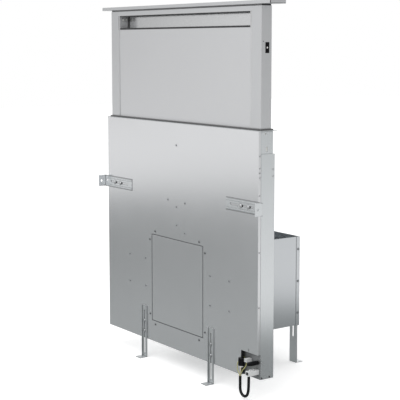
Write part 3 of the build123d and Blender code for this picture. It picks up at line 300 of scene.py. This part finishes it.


# ================================================================ marks: factors of a finish's colour, some of them painted light or shade
def place_mark(tree, axis, operation, limit, absolute=False):
    """1 where the piece's own coordinate on an axis passes a limit, and 0 elsewhere."""
    parts = node(tree, "ShaderNodeSeparateXYZ")
    tree.links.new(own_place(tree), parts.inputs["Vector"])
    value = parts.outputs[axis]
    if absolute:
        size = node(tree, "ShaderNodeMath", operation="ABSOLUTE")
        tree.links.new(value, size.inputs[0])
        value = size.outputs["Value"]
    made = node(tree, "ShaderNodeMath", operation=operation)
    made.inputs[1].default_value = limit
    tree.links.new(value, made.inputs[0])
    return made.outputs["Value"]


def cap_marks(tree):
    """The cap's folded ends: a dark closed seam at each front corner and darker rims above and below."""
    end = place_mark(tree, "X", "GREATER_THAN", CAP_END_X, absolute=True)
    factor = None
    for axis, operation, limit, low in (
        ("Y", "LESS_THAN", CAP_FOLD_Y, 0.25),
        ("Z", "LESS_THAN", CAP_LOW_RIM_Z, 0.55),
        ("Z", "GREATER_THAN", CAP_HIGH_RIM_Z, 0.7),
    ):
        here = combined(tree, "MULTIPLY", end, place_mark(tree, axis, operation, limit))
        kept = spread(tree, here, 1.0, low)
        factor = kept if factor is None else combined(tree, "MINIMUM", factor, kept)
    return factor


def low_screw_marks(tree):
    """The screws at the housing's foot are black; those above it are bright."""
    return spread(tree, place_mark(tree, "Z", "LESS_THAN", BLACK_SCREWS_Z), 1.0, 0.12)


def panel_screw_marks(tree):
    """The screws round the access cover are dark; those away from it are nearly as bright as the panel."""
    wide = place_mark(tree, "X", "GREATER_THAN", COVER_SCREWS_X, absolute=True)
    high = place_mark(tree, "Z", "GREATER_THAN", COVER_SCREWS_Z)
    return spread(tree, combined(tree, "MAXIMUM", wide, high), 1.0, 2.2)


def inside_shade(tree):
    """Painted shade: the open box is darkened inside and left bright outside."""
    return deep_recess_shade(tree, 0.40, 0.10, alone=True)


def foot_light(tree):
    """Painted light: the legs' feet are painted brighter than their uprights, as light from above falls on
    them.
    """
    return spread(tree, place_mark(tree, "Z", "LESS_THAN", FOOT_TOP_Z), 1.0, 1.15)


def edge_shade_bands(tree):
    """Painted shade: the brackets' plates are darkened in bands along their edges above and below."""
    high = place_mark(tree, "Z", "GREATER_THAN", BRACKET_HIGH_SHADE_Z)
    low = place_mark(tree, "Z", "LESS_THAN", BRACKET_LOW_SHADE_Z)
    plate = place_mark(tree, "Y", "GREATER_THAN", BRACKET_PLATE_Y)
    edges = combined(tree, "MAXIMUM", high, low)
    return spread(tree, combined(tree, "MULTIPLY", edges, plate), 1.0, 0.52)


# Metals: colour, roughness and grain, then what differs from plain sheet; close gives the reach and the
# darkest factor of the painted shade.
metals = {
    "stainless": ((0.610, 0.619, 0.630), 0.30, BRUSHED_LONG, {"streak": 0.02}),
    "cap_steel": ((0.600, 0.609, 0.620), 0.30, BRUSHED_LONG, {"streak": 0.02, "marks": cap_marks}),
    "panel_steel": ((0.646, 0.652, 0.664), 0.30, BRUSHED_LONG, {"streak": 0.02, "close": (0.014, 0.68)}),
    "mirror_sheet": ((0.640, 0.646, 0.654), 0.16, BRUSHED_LONG, {"streak": 0.02, "close": (0.0015, 0.6)}),
    # The columns' finish is a darker copy of the stainless, painted shade, brushed upward.
    "column_steel_shaded": ((0.594, 0.602, 0.613), 0.30, BRUSHED_UP, {"streak": 0.035}),
    # The beads' finish is a brighter copy of the stainless, a painted highlight, with almost no painted
    # shade.
    "bead_steel_highlit": ((0.66, 0.665, 0.67), 0.30, BRUSHED_UP, {"streak": 0.02, "close": (0.001, 0.9)}),
    "box_sheet": ((0.606, 0.626, 0.646), 0.20, BRUSHED_UP, {"streak": 0.03, "marks": inside_shade}),
    "bright_shaft": ((0.66, 0.67, 0.68), 0.22, DRAWN_UP, {}),
    "near_steel": ((0.708, 0.714, 0.728), 0.20, SPANGLED, {"streak": 0.03, "close": (0.0022, 0.5)}),
    "galvanised": ((0.678, 0.70, 0.714), 0.20, SPANGLED, {"streak": 0.035}),
    "scroll_sheet": ((0.46, 0.48, 0.49), 0.40, ROLLED, {}),
    "nut_brass": ((0.70, 0.52, 0.22), 0.28, MACHINED, {}),
    "zinc_plated": ((0.62, 0.63, 0.64), 0.30, PLATED, {}),
    "leg_zinc": (
        (0.62, 0.64, 0.65), 0.30, PLATED, {"metallic": 0.86, "close": (0.006, 0.40), "marks": foot_light},
    ),
    "bracket_zinc": ((0.70, 0.72, 0.735), 0.22, PLATED, {"close": (0.004, 0.30), "marks": edge_shade_bands}),
    "screws": ((0.30, 0.31, 0.32), 0.35, FINE, {}),
    "panel_screws": ((0.15, 0.155, 0.16), 0.35, FINE, {"close": (0.002, 0.6), "marks": panel_screw_marks}),
    "leg_screws": ((0.40, 0.41, 0.42), 0.35, FINE, {"metallic": 0.8, "close": (0.004, 0.15)}),
    "clamp_screws": ((0.52, 0.53, 0.54), 0.30, FINE, {"metallic": 0.7, "close": (0.004, 0.15)}),
    "cover_screws": ((0.50, 0.51, 0.52), 0.35, FINE, {"close": (0.003, 0.45), "marks": low_screw_marks}),
}
# Plastics, rubbers and paint: colour, roughness and, where it isn't the usual one, gloss.
plastics = {
    "motor_paint": ((0.10, 0.105, 0.11), 0.42),
    "dark_seal": ((0.030, 0.030, 0.032), 0.75),
    "grey_seal": ((0.25, 0.25, 0.255), 0.7),
    "wiper_rubber": ((0.11, 0.11, 0.112), 0.7),
    # The next finish is painted shade: a dark piece in the gap round the access cover.
    "gap_shade_black": ((0.040, 0.042, 0.044), 0.7),
    "nylon": ((0.72, 0.72, 0.69), 0.45),
    "white_plastic": ((0.66, 0.67, 0.67), 0.34),
    "black_plastic": ((0.006, 0.006, 0.007), 0.50, 0.08),
    "glossy_black": ((0.006, 0.006, 0.007), 0.26, 0.12),
    "cable_jacket": ((0.008, 0.008, 0.009), 0.48, 0.18),
    "plain_insulation": ((0.60, 0.53, 0.37), 0.35),
    "earth_insulation": ((0.42, 0.41, 0.17), 0.35),
    "lens": ((0.20, 0.20, 0.21), 0.20),
    "pale_lens": ((0.75, 0.75, 0.74), 0.25),
}
materials = {
    # The wiring tray and the slot's end plates take darker, duller sheet: painted shade for their recesses.
    "shaded_recess_sheet": shaded_recess_sheet("shaded_recess_sheet", (0.42, 0.43, 0.44), 0.42, reach=0.09, dark=0.06),
    "slot_sheet": shaded_recess_sheet("slot_sheet", (0.56, 0.565, 0.57), 0.34, reach=0.04, dark=0.34),
    "filter_mesh": woven_mesh("filter_mesh", (0.70, 0.71, 0.72), 0.38, pitch=0.004),
    "screw_thread": threaded("screw_thread", (0.66, 0.67, 0.68), 0.22, pitch=0.0045),
}
for name, (*values, options) in metals.items():
    materials[name] = sheet_metal(name, *values, **options)
for name, values in plastics.items():
    materials[name] = moulded(name, *values)

# The nodes that have a finish of their own; every other node has the finish of its slot.
own_finishes = {
    "near_steel": ("near_panel", "access_cover"),
    "panel_screws": ("near_face_fasteners",),
    "cover_screws": ("side_cover_screws",),
    "box_sheet": ("blower_box", "blower_rear_cover"),
    "shaded_recess_sheet": ("wiring_tray",),
    "glossy_black": ("elbow_plug",),
    "wiper_rubber": ("wiper_seal",),
    "cap_steel": ("top_cap",),
    "grey_seal": ("cap_gasket",),
    "panel_steel": ("front_panel",),
    "mirror_sheet": ("chimney_rear_wall",),
    "column_steel_shaded": ("chimney_column_left", "chimney_column_right"),
    "slot_sheet": ("slot_end_plates",),
    "screw_thread": ("lead_screw",),
    "leg_zinc": ("near_leg_left", "near_leg_right", "far_leg_left", "far_leg_right"),
    "leg_screws": ("leg_screws",),
    "bracket_zinc": ("wall_bracket_left", "wall_bracket_right"),
    "clamp_screws": ("bracket_clamp_screws",),
}
finish_of = {name: finish for finish, names in own_finishes.items() for name in names}
for row in frame["record"]["subparts"]:
    finish = finish_of.get(row["node"], row["material_slot"])
    for place in frame["nodes"][row["node"]].material_slots:
        place.material = materials[finish]

# ================================================================ cords
# Where the leads end: jacket, motor plug, elbow plug, collar, the earth lead's block and the tray's notch.
JACKET = (HALF_WIDTH - 0.0605, NEAR_Y - 0.017, BASE_Z + 0.004)
MOTOR_PLUG_X = HALF_WIDTH - 0.0155
MOTOR_PLUG_LOW_Z = BASE_Z + 0.0145
ELBOW = (HALF_WIDTH - 0.064, NEAR_Y - 0.010, BASE_Z + 0.034)
COLLAR_LOW_Z = ELBOW[2] - 0.005
LEAD_BLOCK = (HALF_WIDTH - 0.0475, BASE_Z + 0.047)
NOTCH_LEFT = HALF_WIDTH - 0.079


def lead(name, points, diameter, body, slot_name):
    """A round lead whose centreline is a smooth spline through the route's control points."""
    curve = bpy.data.curves.new(name, "CURVE")
    curve.dimensions = "3D"
    spline = curve.splines.new("NURBS")
    spline.points.add(len(points) - 1)
    for point, place in zip(spline.points, points):
        point.co = (*place, 1)
    spline.order_u = 3
    spline.use_endpoint_u = True
    spline.resolution_u = 12
    curve.bevel_depth = diameter / 2
    curve.bevel_resolution = 5
    curve.use_fill_caps = True
    made = new_object(name, curve)
    curve.materials.append(materials[slot_name])
    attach(made, body)
    return made


def from_jacket(*step):
    """A place in millimetres measured from the jacket's upper end."""
    return tuple(start + part / 1000 for start, part in zip(JACKET, step))


cable_points = [
    from_jacket(0, 0, 0),
    from_jacket(0, 0, -22),
    from_jacket(0.7, -0.6, -43),
    from_jacket(11.5, -1.2, -55.7),
    from_jacket(29.5, -2, -56.5),
    from_jacket(41.5, -2.6, -43.8),
    (MOTOR_PLUG_X, JACKET[1] - 0.003, MOTOR_PLUG_LOW_Z - 0.0285),
    (MOTOR_PLUG_X, JACKET[1] - 0.003, MOTOR_PLUG_LOW_Z),
]
cable = lead("jumper_loop", cable_points, CABLE_DIAMETER, "housing", "cable_jacket")
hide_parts("jumper_cable")


def at_block(across, reach, up):
    """A place in millimetres measured from the earth lead's block: X from it, Y from the near face."""
    return (LEAD_BLOCK[0] + across / 1000, NEAR_Y - reach / 1000, LEAD_BLOCK[1] + up / 1000)


earth_runs = {
    "earth_core_right": (
        0.0485,
        [at_block(0, 3, 0), at_block(0, 3, -12), from_jacket(1.5, 1.5, 12), from_jacket(1.5, 1.5, 0)],
    ),
    "earth_core_left": (
        0.0717,
        [
            (NOTCH_LEFT + 0.003, TRAY_Y, LEAD_BLOCK[1] + 0.005),
            (NOTCH_LEFT + 0.003, TRAY_Y - 0.015, LEAD_BLOCK[1] + 0.005),
            (NOTCH_LEFT + 0.0005, NEAR_Y - 0.014, LEAD_BLOCK[1] - 0.007),
            from_jacket(-12.5, -1.5, 16),
            from_jacket(-1.5, -1.5, 7),
            from_jacket(-1.5, -1.5, 0),
        ],
    ),
}
for core_name, (core_length, core_points) in earth_runs.items():
    core = lead(core_name, core_points, CORE_DIAMETER, "housing", "earth_insulation")
    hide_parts("earth_cores")


def from_collar(across, outward, up):
    """A place in millimetres measured from the collar's low end, outward from the near face."""
    return (ELBOW[0] + across / 1000, ELBOW[1] - outward / 1000, COLLAR_LOW_Z + up / 1000)


plain_runs = {
    "plain_core_left": [
        from_collar(-3.2, 1, 0.5), from_collar(-3.2, 1, -7),
        from_jacket(-1.5, 1.5, 9), from_jacket(-1.5, 1.5, 0),
    ],
    "plain_core_right": [
        from_collar(2.2, 4, 0.5), from_collar(2.2, 4, -7),
        from_jacket(1.5, -1.5, 9), from_jacket(1.5, -1.5, 0),
    ],
}
for core_name, core_points in plain_runs.items():
    core = lead(core_name, core_points, CORE_DIAMETER, "housing", "plain_insulation")
    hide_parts("plain_cores")

# ================================================================ pieces in mesh code
SHARP_EDGE = math.radians(35)


def add_piece(name, body, slot_name, made, material=None):
    """A bmesh made into a piece that rides on a body, smooth where its faces meet at small angles."""
    mesh = bpy.data.meshes.new(name)
    bmesh.ops.remove_doubles(made, verts=made.verts, dist=1e-6)
    bmesh.ops.recalc_face_normals(made, faces=made.faces)
    for face in made.faces:
        face.smooth = True
    for edge in made.edges:
        if len(edge.link_faces) != 2 or edge.calc_face_angle(0) > SHARP_EDGE:
            edge.smooth = False
    made.to_mesh(mesh)
    made.free()
    piece = new_object(name, mesh)
    mesh.materials.append(materials[material or slot_name])
    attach(piece, body)
    return piece


def joined(made, rings):
    """Adds the faces between rings of corners that follow each other; a ring of one corner is a tip."""
    for low, high in zip(rings, rings[1:]):
        for k in range(max(len(low), len(high))):
            corners = [
                low[k % len(low)], low[(k + 1) % len(low)], high[(k + 1) % len(high)], high[k % len(high)],
            ]
            made.faces.new(list(dict.fromkeys(corners)))


def turned(made, centre, axis, outline, sides=32):
    """Adds a turned form: outline is pairs of radius and place along the axis through centre."""
    turn = Vector((0, 0, 1)).rotation_difference(Vector(axis)).to_matrix().to_4x4()
    turn = Matrix.Translation(centre) @ turn
    rings = [
        [
            made.verts.new(turn @ Vector((
                radius * math.cos(2 * math.pi * k / sides), radius * math.sin(2 * math.pi * k / sides), up,
            )))
            for k in range(sides if radius else 1)
        ]
        for radius, up in outline
    ]
    joined(made, rings)


COLLAR_OUTLINE = [
    (0, 0.0010), (0.0044, 0.0010), (0.0052, 0), (0.0060, 0), (0.0065, 0.0006), (0.0065, 0.0042),
    (0.0058, 0.005), (0, 0.005),
]
collar = bmesh.new()
turned(collar, (ELBOW[0], ELBOW[1], COLLAR_LOW_Z), (0, 0, 1), COLLAR_OUTLINE)
collar = add_piece("core_collar", "housing", "white_plastic", collar)
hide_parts("plain_cores")


def strip(made, low, high, chamfer):
    """Adds a thin strip between two corners, with its edges rounded off."""
    low, high = Vector(low), Vector(high)
    place = Matrix.Translation((low + high) / 2) @ Matrix.Diagonal((*(high - low), 1))
    corners = bmesh.ops.create_cube(made, size=1, matrix=place)["verts"]
    edges = list({edge for corner in corners for edge in corner.link_edges})
    bmesh.ops.bevel(made, geom=edges, offset=chamfer, segments=2, profile=0.6, affect="EDGES")


def pair_of_strips(made, edges_x, edges_y, edges_z, chamfer):
    """Adds the same strip at the left and at the right."""
    for side in (-1, 1):
        low_x, high_x = sorted(side * edge for edge in edges_x)
        strip(made, (low_x, edges_y[0], edges_z[0]), (high_x, edges_y[1], edges_z[1]), chamfer)


def ring(made, middle, half, wide, near, crown):
    """Adds a rounded ring round a rectangle of the near face: half and wide are pairs along X and Z."""
    outline = [(-0.5, 0.0), (-0.32, 0.75), (0.0, 1.0), (0.32, 0.75), (0.5, 0.0)]
    turns = [(-1, -1), (1, -1), (1, 1), (-1, 1)]
    rows = [
        [
            made.verts.new((
                middle[0] + turn_x * (half[0] + across * wide[0]),
                near - crown * rise,
                middle[1] + turn_z * (half[1] + across * wide[1]),
            ))
            for across, rise in outline
        ]
        for turn_x, turn_z in turns
    ]
    for this, following in zip(rows, rows[1:] + rows[:1]):
        for k in range(len(outline) - 1):
            made.faces.new((this[k], this[k + 1], following[k + 1], following[k]))


# A thin dark ring fills the gap round the access cover: painted shade, a dark piece standing for the gap's
# shadow.
COVER_HALF = (0.1435, 0.145)
COVER_MIDDLE = (0, BASE_Z + 0.0705 + COVER_HALF[1])
EDGING_WIDTH = (0.0036, 0.0026)
EDGING_BACK_Y = NEAR_Y + 0.0001
edging = bmesh.new()
ring(edging, COVER_MIDDLE, COVER_HALF, EDGING_WIDTH, EDGING_BACK_Y, crown=0.0005)
add_piece("access_gap_shade", "housing", "dark_seal", edging, "gap_shade_black")

# The two buttons sit in one black bezel with a pale lamp between them.
SIDE_X = 0.410
BUTTON_Y = -0.1448
BUTTON_MIDDLE_Z = 1.038
BUTTON_STEP = 0.0084
HOLE_HALF = 0.0057
BEZEL_HALF = (0.0072, 0.0156)
BEZEL_PROUD = 0.0002
BEZEL_SUNK = 0.0002
BAR_OVERLAP = 0.0002
bezel = bmesh.new()


def bezel_bar(edges_y, edges_z):
    """Adds one bar of the bezel; its edges are measured from the middle between the buttons."""
    strip(
        bezel,
        (SIDE_X - BEZEL_SUNK, BUTTON_Y + edges_y[0], BUTTON_MIDDLE_Z + edges_z[0]),
        (SIDE_X + BEZEL_PROUD, BUTTON_Y + edges_y[1], BUTTON_MIDDLE_Z + edges_z[1]),
        chamfer=0.0001,
    )


for edges_y in ((-BEZEL_HALF[0], -HOLE_HALF), (HOLE_HALF, BEZEL_HALF[0])):
    bezel_bar(edges_y, (-BEZEL_HALF[1], BEZEL_HALF[1]))
for edges_z in (
    (-BEZEL_HALF[1], -BUTTON_STEP - HOLE_HALF),
    (-BUTTON_STEP + HOLE_HALF, BUTTON_STEP - HOLE_HALF),
    (BUTTON_STEP + HOLE_HALF, BEZEL_HALF[1]),
):
    bezel_bar((-HOLE_HALF - BAR_OVERLAP, HOLE_HALF + BAR_OVERLAP), edges_z)
add_piece("button_bezel", "chimney", "black_plastic", bezel)

LAMP_OUTLINE = [(0, -0.0001), (0.0027, -0.0001), (0.0026, 0.00005), (0.0018, 0.0001), (0, 0.00012)]
button_lamp = bmesh.new()
turned(button_lamp, (SIDE_X + BEZEL_PROUD, BUTTON_Y, BUTTON_MIDDLE_Z), (1, 0, 0), LAMP_OUTLINE)
add_piece("button_lamp", "chimney", "lens", button_lamp, "pale_lens")

# Oval heads stand on the bosses of the slot's end plates; their pale finish is a painted highlight on the
# bosses.
SLOT_HALF = 0.357
SLOT_LOW_Z = 1.097
SLOT_HIGH_Z = 1.143
HEAD_BACK_X = SLOT_HALF - 0.0015
HEAD_PLACES_Y = (-0.1530, -0.1408)
HEAD_Z = 1.130
HEAD_HALF = (0.0027, 0.0046)
HEAD_RINGS = ((1.0, 0.0), (0.94, 0.0004), (0.72, 0.0008), (0.35, 0.0010))
HEAD_SIDES = 24
heads = bmesh.new()
for side in (-1, 1):
    for head_y in HEAD_PLACES_Y:
        centre = Vector((side * HEAD_BACK_X, head_y, HEAD_Z))
        rings = [
            [
                heads.verts.new(centre + Vector((
                    -side * out,
                    HEAD_HALF[0] * share * math.cos(2 * math.pi * k / HEAD_SIDES),
                    HEAD_HALF[1] * share * math.sin(2 * math.pi * k / HEAD_SIDES),
                )))
                for k in range(HEAD_SIDES)
            ]
            for share, out in HEAD_RINGS
        ]
        joined(heads, rings)
        heads.faces.new(rings[-1])
        heads.faces.new(rings[0])
add_piece("slot_boss_highlight_heads", "chimney", "nylon", heads)

# A dark strip fills the corner behind each end plate: painted shade in that corner.
CORNER_SHADE_X = (SLOT_HALF - 0.0050, SLOT_HALF)
CORNER_SHADE_Y = (-0.1319, -0.1302)
CORNER_SHADE_Z = (SLOT_LOW_Z + 0.0002, SLOT_HIGH_Z - 0.0002)
corner_shades = bmesh.new()
pair_of_strips(corner_shades, CORNER_SHADE_X, CORNER_SHADE_Y, CORNER_SHADE_Z, chamfer=0.0006)
add_piece("slot_corner_shade_strips", "chimney", "dark_seal", corner_shades, "wiper_rubber")

# A folded bead covers the joint between each column and the front panel; its brighter finish is a painted
# highlight along the joint.
BEAD_X = (0.3615, 0.3645)
BEAD_Y = (-0.1666, -0.1645)
BEAD_Z = (0.7505, SLOT_LOW_Z - 0.0005)
beads = bmesh.new()
pair_of_strips(beads, BEAD_X, BEAD_Y, BEAD_Z, chamfer=0.0005)
add_piece("panel_beads", "chimney", "stainless", beads, "bead_steel_highlit")

# A rubber mat seals the wires' side of the motor plug.
MAT_HALF = 0.0058
MAT_Y = (NEAR_Y - 0.0262, NEAR_Y - 0.0257)
MAT_Z = (MOTOR_PLUG_LOW_Z + 0.0028, MOTOR_PLUG_LOW_Z + 0.0122)
mat = bmesh.new()
strip(
    mat,
    (MOTOR_PLUG_X - MAT_HALF, MAT_Y[0], MAT_Z[0]),
    (MOTOR_PLUG_X + MAT_HALF, MAT_Y[1], MAT_Z[1]),
    chamfer=0.0002,
)
add_piece("motor_plug_mat", "housing", "dark_seal", mat)

# Dark strips close the gasket's ends under the cap: painted shade where the cap's underside is in shadow.
GASKET_END_X = (0.4080, 0.4092)
GASKET_END_Y = (-0.1650, -0.1306)
GASKET_END_Z = (1.1582, 1.1624)
gasket_end_shades = bmesh.new()
pair_of_strips(gasket_end_shades, GASKET_END_X, GASKET_END_Y, GASKET_END_Z, chamfer=0.0004)
add_piece("gasket_end_shades", "chimney", "dark_seal", gasket_end_shades)

# ================================================================ stage, camera, light
WHITE = (1, 1, 1)
TOWARD_RIGHT = (0.776, 0.631, 0)
TOWARD_LEFT = (-1, 0, 0)
TOWARD_CAMERA = (0.631, -0.776, 0)
TOWARD_NEAR_LEFT = (-0.82, -0.57, 0)

# Brightness as pairs of place and height: the sky's along a direction, the floor's in metres along one.
SKY_RIGHT = [(-1, 1), (0.5, 1), (0.85, 0.62), (1, 0.62)]
SKY_LEFT = [(-1, 1), (0.79, 1), (0.86, 0.58), (1, 0.48)]
FLOOR_RIGHT = [
    (-2, 1), (-1.2, 0.95), (-0.6, 0.42), (0.1, 0.41), (0.5, 0.31), (0.85, 0.33), (1.03, 0.48),
    (1.22, 0.86), (1.5, 0.97), (2.3, 0.95), (4.3, 0.82), (7, 0.77), (12, 0.54),
]
FLOOR_BEFORE = [(-1, 0), (0.60, 0), (0.95, 0.95), (2, 0.95)]
FLOOR_DARK = [(-1, 0.42), (0.8, 0.42), (1.3, 0.39), (2.4, 0.33), (6, 0.33)]
DARK_CENTRE = (-1.5, -1.25, 0)
DARK_RADIUS = 2.5
DARK_EDGE = 0.5
SKY_LIGHT = 0.55
FLOOR_HALF = 14
FLOOR_GREY = 0.86
FLOOR_LIFT = 0.43
COOL_WHITE = (0.955, 1.0, 0.997)
OBJECT_MIDDLE = (0, 0, 0.5)

# The studio is white to the camera and in metal and glass, a little greyer to the sides in metal.
world = bpy.data.worlds.new("studio")
bpy.context.scene.world = world
world.use_nodes = True
sky = world.node_tree
sky.nodes.clear()
sky_path = node(sky, "ShaderNodeLightPath")
sky_place = node(sky, "ShaderNodeTexCoord").outputs["Generated"]
right_side = steps(sky, along(sky, sky_place, TOWARD_RIGHT), SKY_RIGHT)
left_side = steps(sky, along(sky, sky_place, TOWARD_LEFT), SKY_LEFT)
studio = combined(sky, "MULTIPLY", right_side, left_side)
studio = combined(sky, "MAXIMUM", studio, sky_path.outputs["Is Camera Ray"])
sky_plain = node(sky, "ShaderNodeBackground", Color=(*WHITE, 1), Strength=SKY_LIGHT)
sky_seen = node(sky, "ShaderNodeBackground", Color=(*WHITE, 1))
sky.links.new(studio, sky_seen.inputs["Strength"])
seen = combined(sky, "MAXIMUM", sky_path.outputs["Is Camera Ray"], sky_path.outputs["Is Glossy Ray"])
seen = combined(sky, "MAXIMUM", seen, sky_path.outputs["Is Transmission Ray"])
sky_out = node(sky, "ShaderNodeOutputWorld")
sky.links.new(
    mixed_shader(sky, seen, sky_plain.outputs["Background"], sky_seen.outputs["Background"]),
    sky_out.inputs["Surface"],
)

floor_mesh = bpy.data.meshes.new("floor")
floor_corners = [(x * FLOOR_HALF, y * FLOOR_HALF, 0) for x, y in ((-1, -1), (1, -1), (1, 1), (-1, 1))]
floor_mesh.from_pydata(floor_corners, [], [(0, 1, 2, 3)])
floor = new_object("floor", floor_mesh)

# The floor is pale and keeps the shadow. In metal and glass it shows as a glowing card, greyer near the
# object: a painted reflection.
floor_material, floor_tree, floor_shader = new_material("floor")
floor_shader.inputs["Base Color"].default_value = (FLOOR_GREY, FLOOR_GREY, FLOOR_GREY, 1)
floor_shader.inputs["Roughness"].default_value = 0.9
floor_shader.inputs["Specular IOR Level"].default_value = 0.0
floor_place = node(floor_tree, "ShaderNodeNewGeometry").outputs["Position"]
pale = steps(floor_tree, along(floor_tree, floor_place, TOWARD_RIGHT), FLOOR_RIGHT)
before = steps(floor_tree, along(floor_tree, floor_place, TOWARD_CAMERA), FLOOR_BEFORE)
near_dark = steps(floor_tree, along(floor_tree, floor_place, TOWARD_NEAR_LEFT), FLOOR_DARK)
reach = node(floor_tree, "ShaderNodeVectorMath", operation="DISTANCE")
reach.inputs[1].default_value = DARK_CENTRE
floor_tree.links.new(floor_place, reach.inputs[0])
fade = node(
    floor_tree, "ShaderNodeMapRange", interpolation_type="SMOOTHSTEP",
    From_Min=DARK_RADIUS - DARK_EDGE, From_Max=DARK_RADIUS + DARK_EDGE, To_Max=1.0,
)
floor_tree.links.new(reach.outputs["Value"], fade.inputs["Value"])
floor_tree.links.new(near_dark, fade.inputs["To Min"])
pale = combined(floor_tree, "MINIMUM", pale, fade.outputs["Result"])
pale = combined(floor_tree, "MAXIMUM", pale, before)
reflected = node(floor_tree, "ShaderNodeEmission")
floor_tree.links.new(ramp(floor_tree, pale, COOL_WHITE, WHITE, 0.42, 0.92), reflected.inputs["Color"])
floor_tree.links.new(pale, reflected.inputs["Strength"])
lift = node(floor_tree, "ShaderNodeEmission", Strength=FLOOR_LIFT)
shown = node(floor_tree, "ShaderNodeAddShader")
floor_tree.links.new(floor_shader.outputs["BSDF"], shown.inputs[0])
floor_tree.links.new(lift.outputs["Emission"], shown.inputs[1])
path = node(floor_tree, "ShaderNodeLightPath")
by_camera = mixed_shader(
    floor_tree, path.outputs["Is Camera Ray"], floor_shader.outputs["BSDF"], shown.outputs["Shader"],
)
mirrored = combined(floor_tree, "MAXIMUM", path.outputs["Is Glossy Ray"], path.outputs["Is Transmission Ray"])
floor_out = floor_tree.nodes["Material Output"]
floor_tree.links.new(
    mixed_shader(floor_tree, mirrored, by_camera, reflected.outputs["Emission"]), floor_out.inputs["Surface"],
)
floor_mesh.materials.append(floor_material)


def lamp(name, place, size, power):
    """A large soft area lamp that points at the object's middle."""
    data = bpy.data.lights.new(name, "AREA")
    data.shape = "SQUARE"
    data.size = size
    data.energy = power
    made = new_object(name, data)
    made.location = place
    made.rotation_euler = (Vector(OBJECT_MIDDLE) - Vector(place)).to_track_quat("-Z", "Y").to_euler()


lamp("key_lamp", (1.2, -3.2, 3.6), 2.4, 40)
lamp("top_lamp", (-0.5, 0.6, 4.2), 3.0, 30)
sun_data = bpy.data.lights.new("soft_sun", "SUN")
sun_data.energy = 1.0
sun_data.angle = math.radians(70)
sun = new_object("soft_sun", sun_data)
sun.rotation_euler = (math.radians(28), math.radians(12), 0)

# The camera's place, its angles in degrees, and its focal length and shift in pixels of the photograph.
CAMERA_PLACE = (2.9144, -2.1864, 1.0452)
CAMERA_YAW = 54.238
CAMERA_PITCH = 6.272
FOCAL_PIXELS = 1118.56
SHIFT_PIXELS = -32
PHOTO_WIDTH = 400
SENSOR_WIDTH = 36
camera_data = bpy.data.cameras.new("camera")
camera_data.sensor_width = SENSOR_WIDTH
camera_data.lens = FOCAL_PIXELS / PHOTO_WIDTH * SENSOR_WIDTH
camera_data.shift_y = SHIFT_PIXELS / PHOTO_WIDTH
camera = new_object("camera", camera_data)
camera.location = CAMERA_PLACE
camera.rotation_euler = (math.radians(90 - CAMERA_PITCH), 0, math.radians(CAMERA_YAW))
bpy.context.scene.camera = camera
bpy.context.scene.view_settings.view_transform = "Standard"
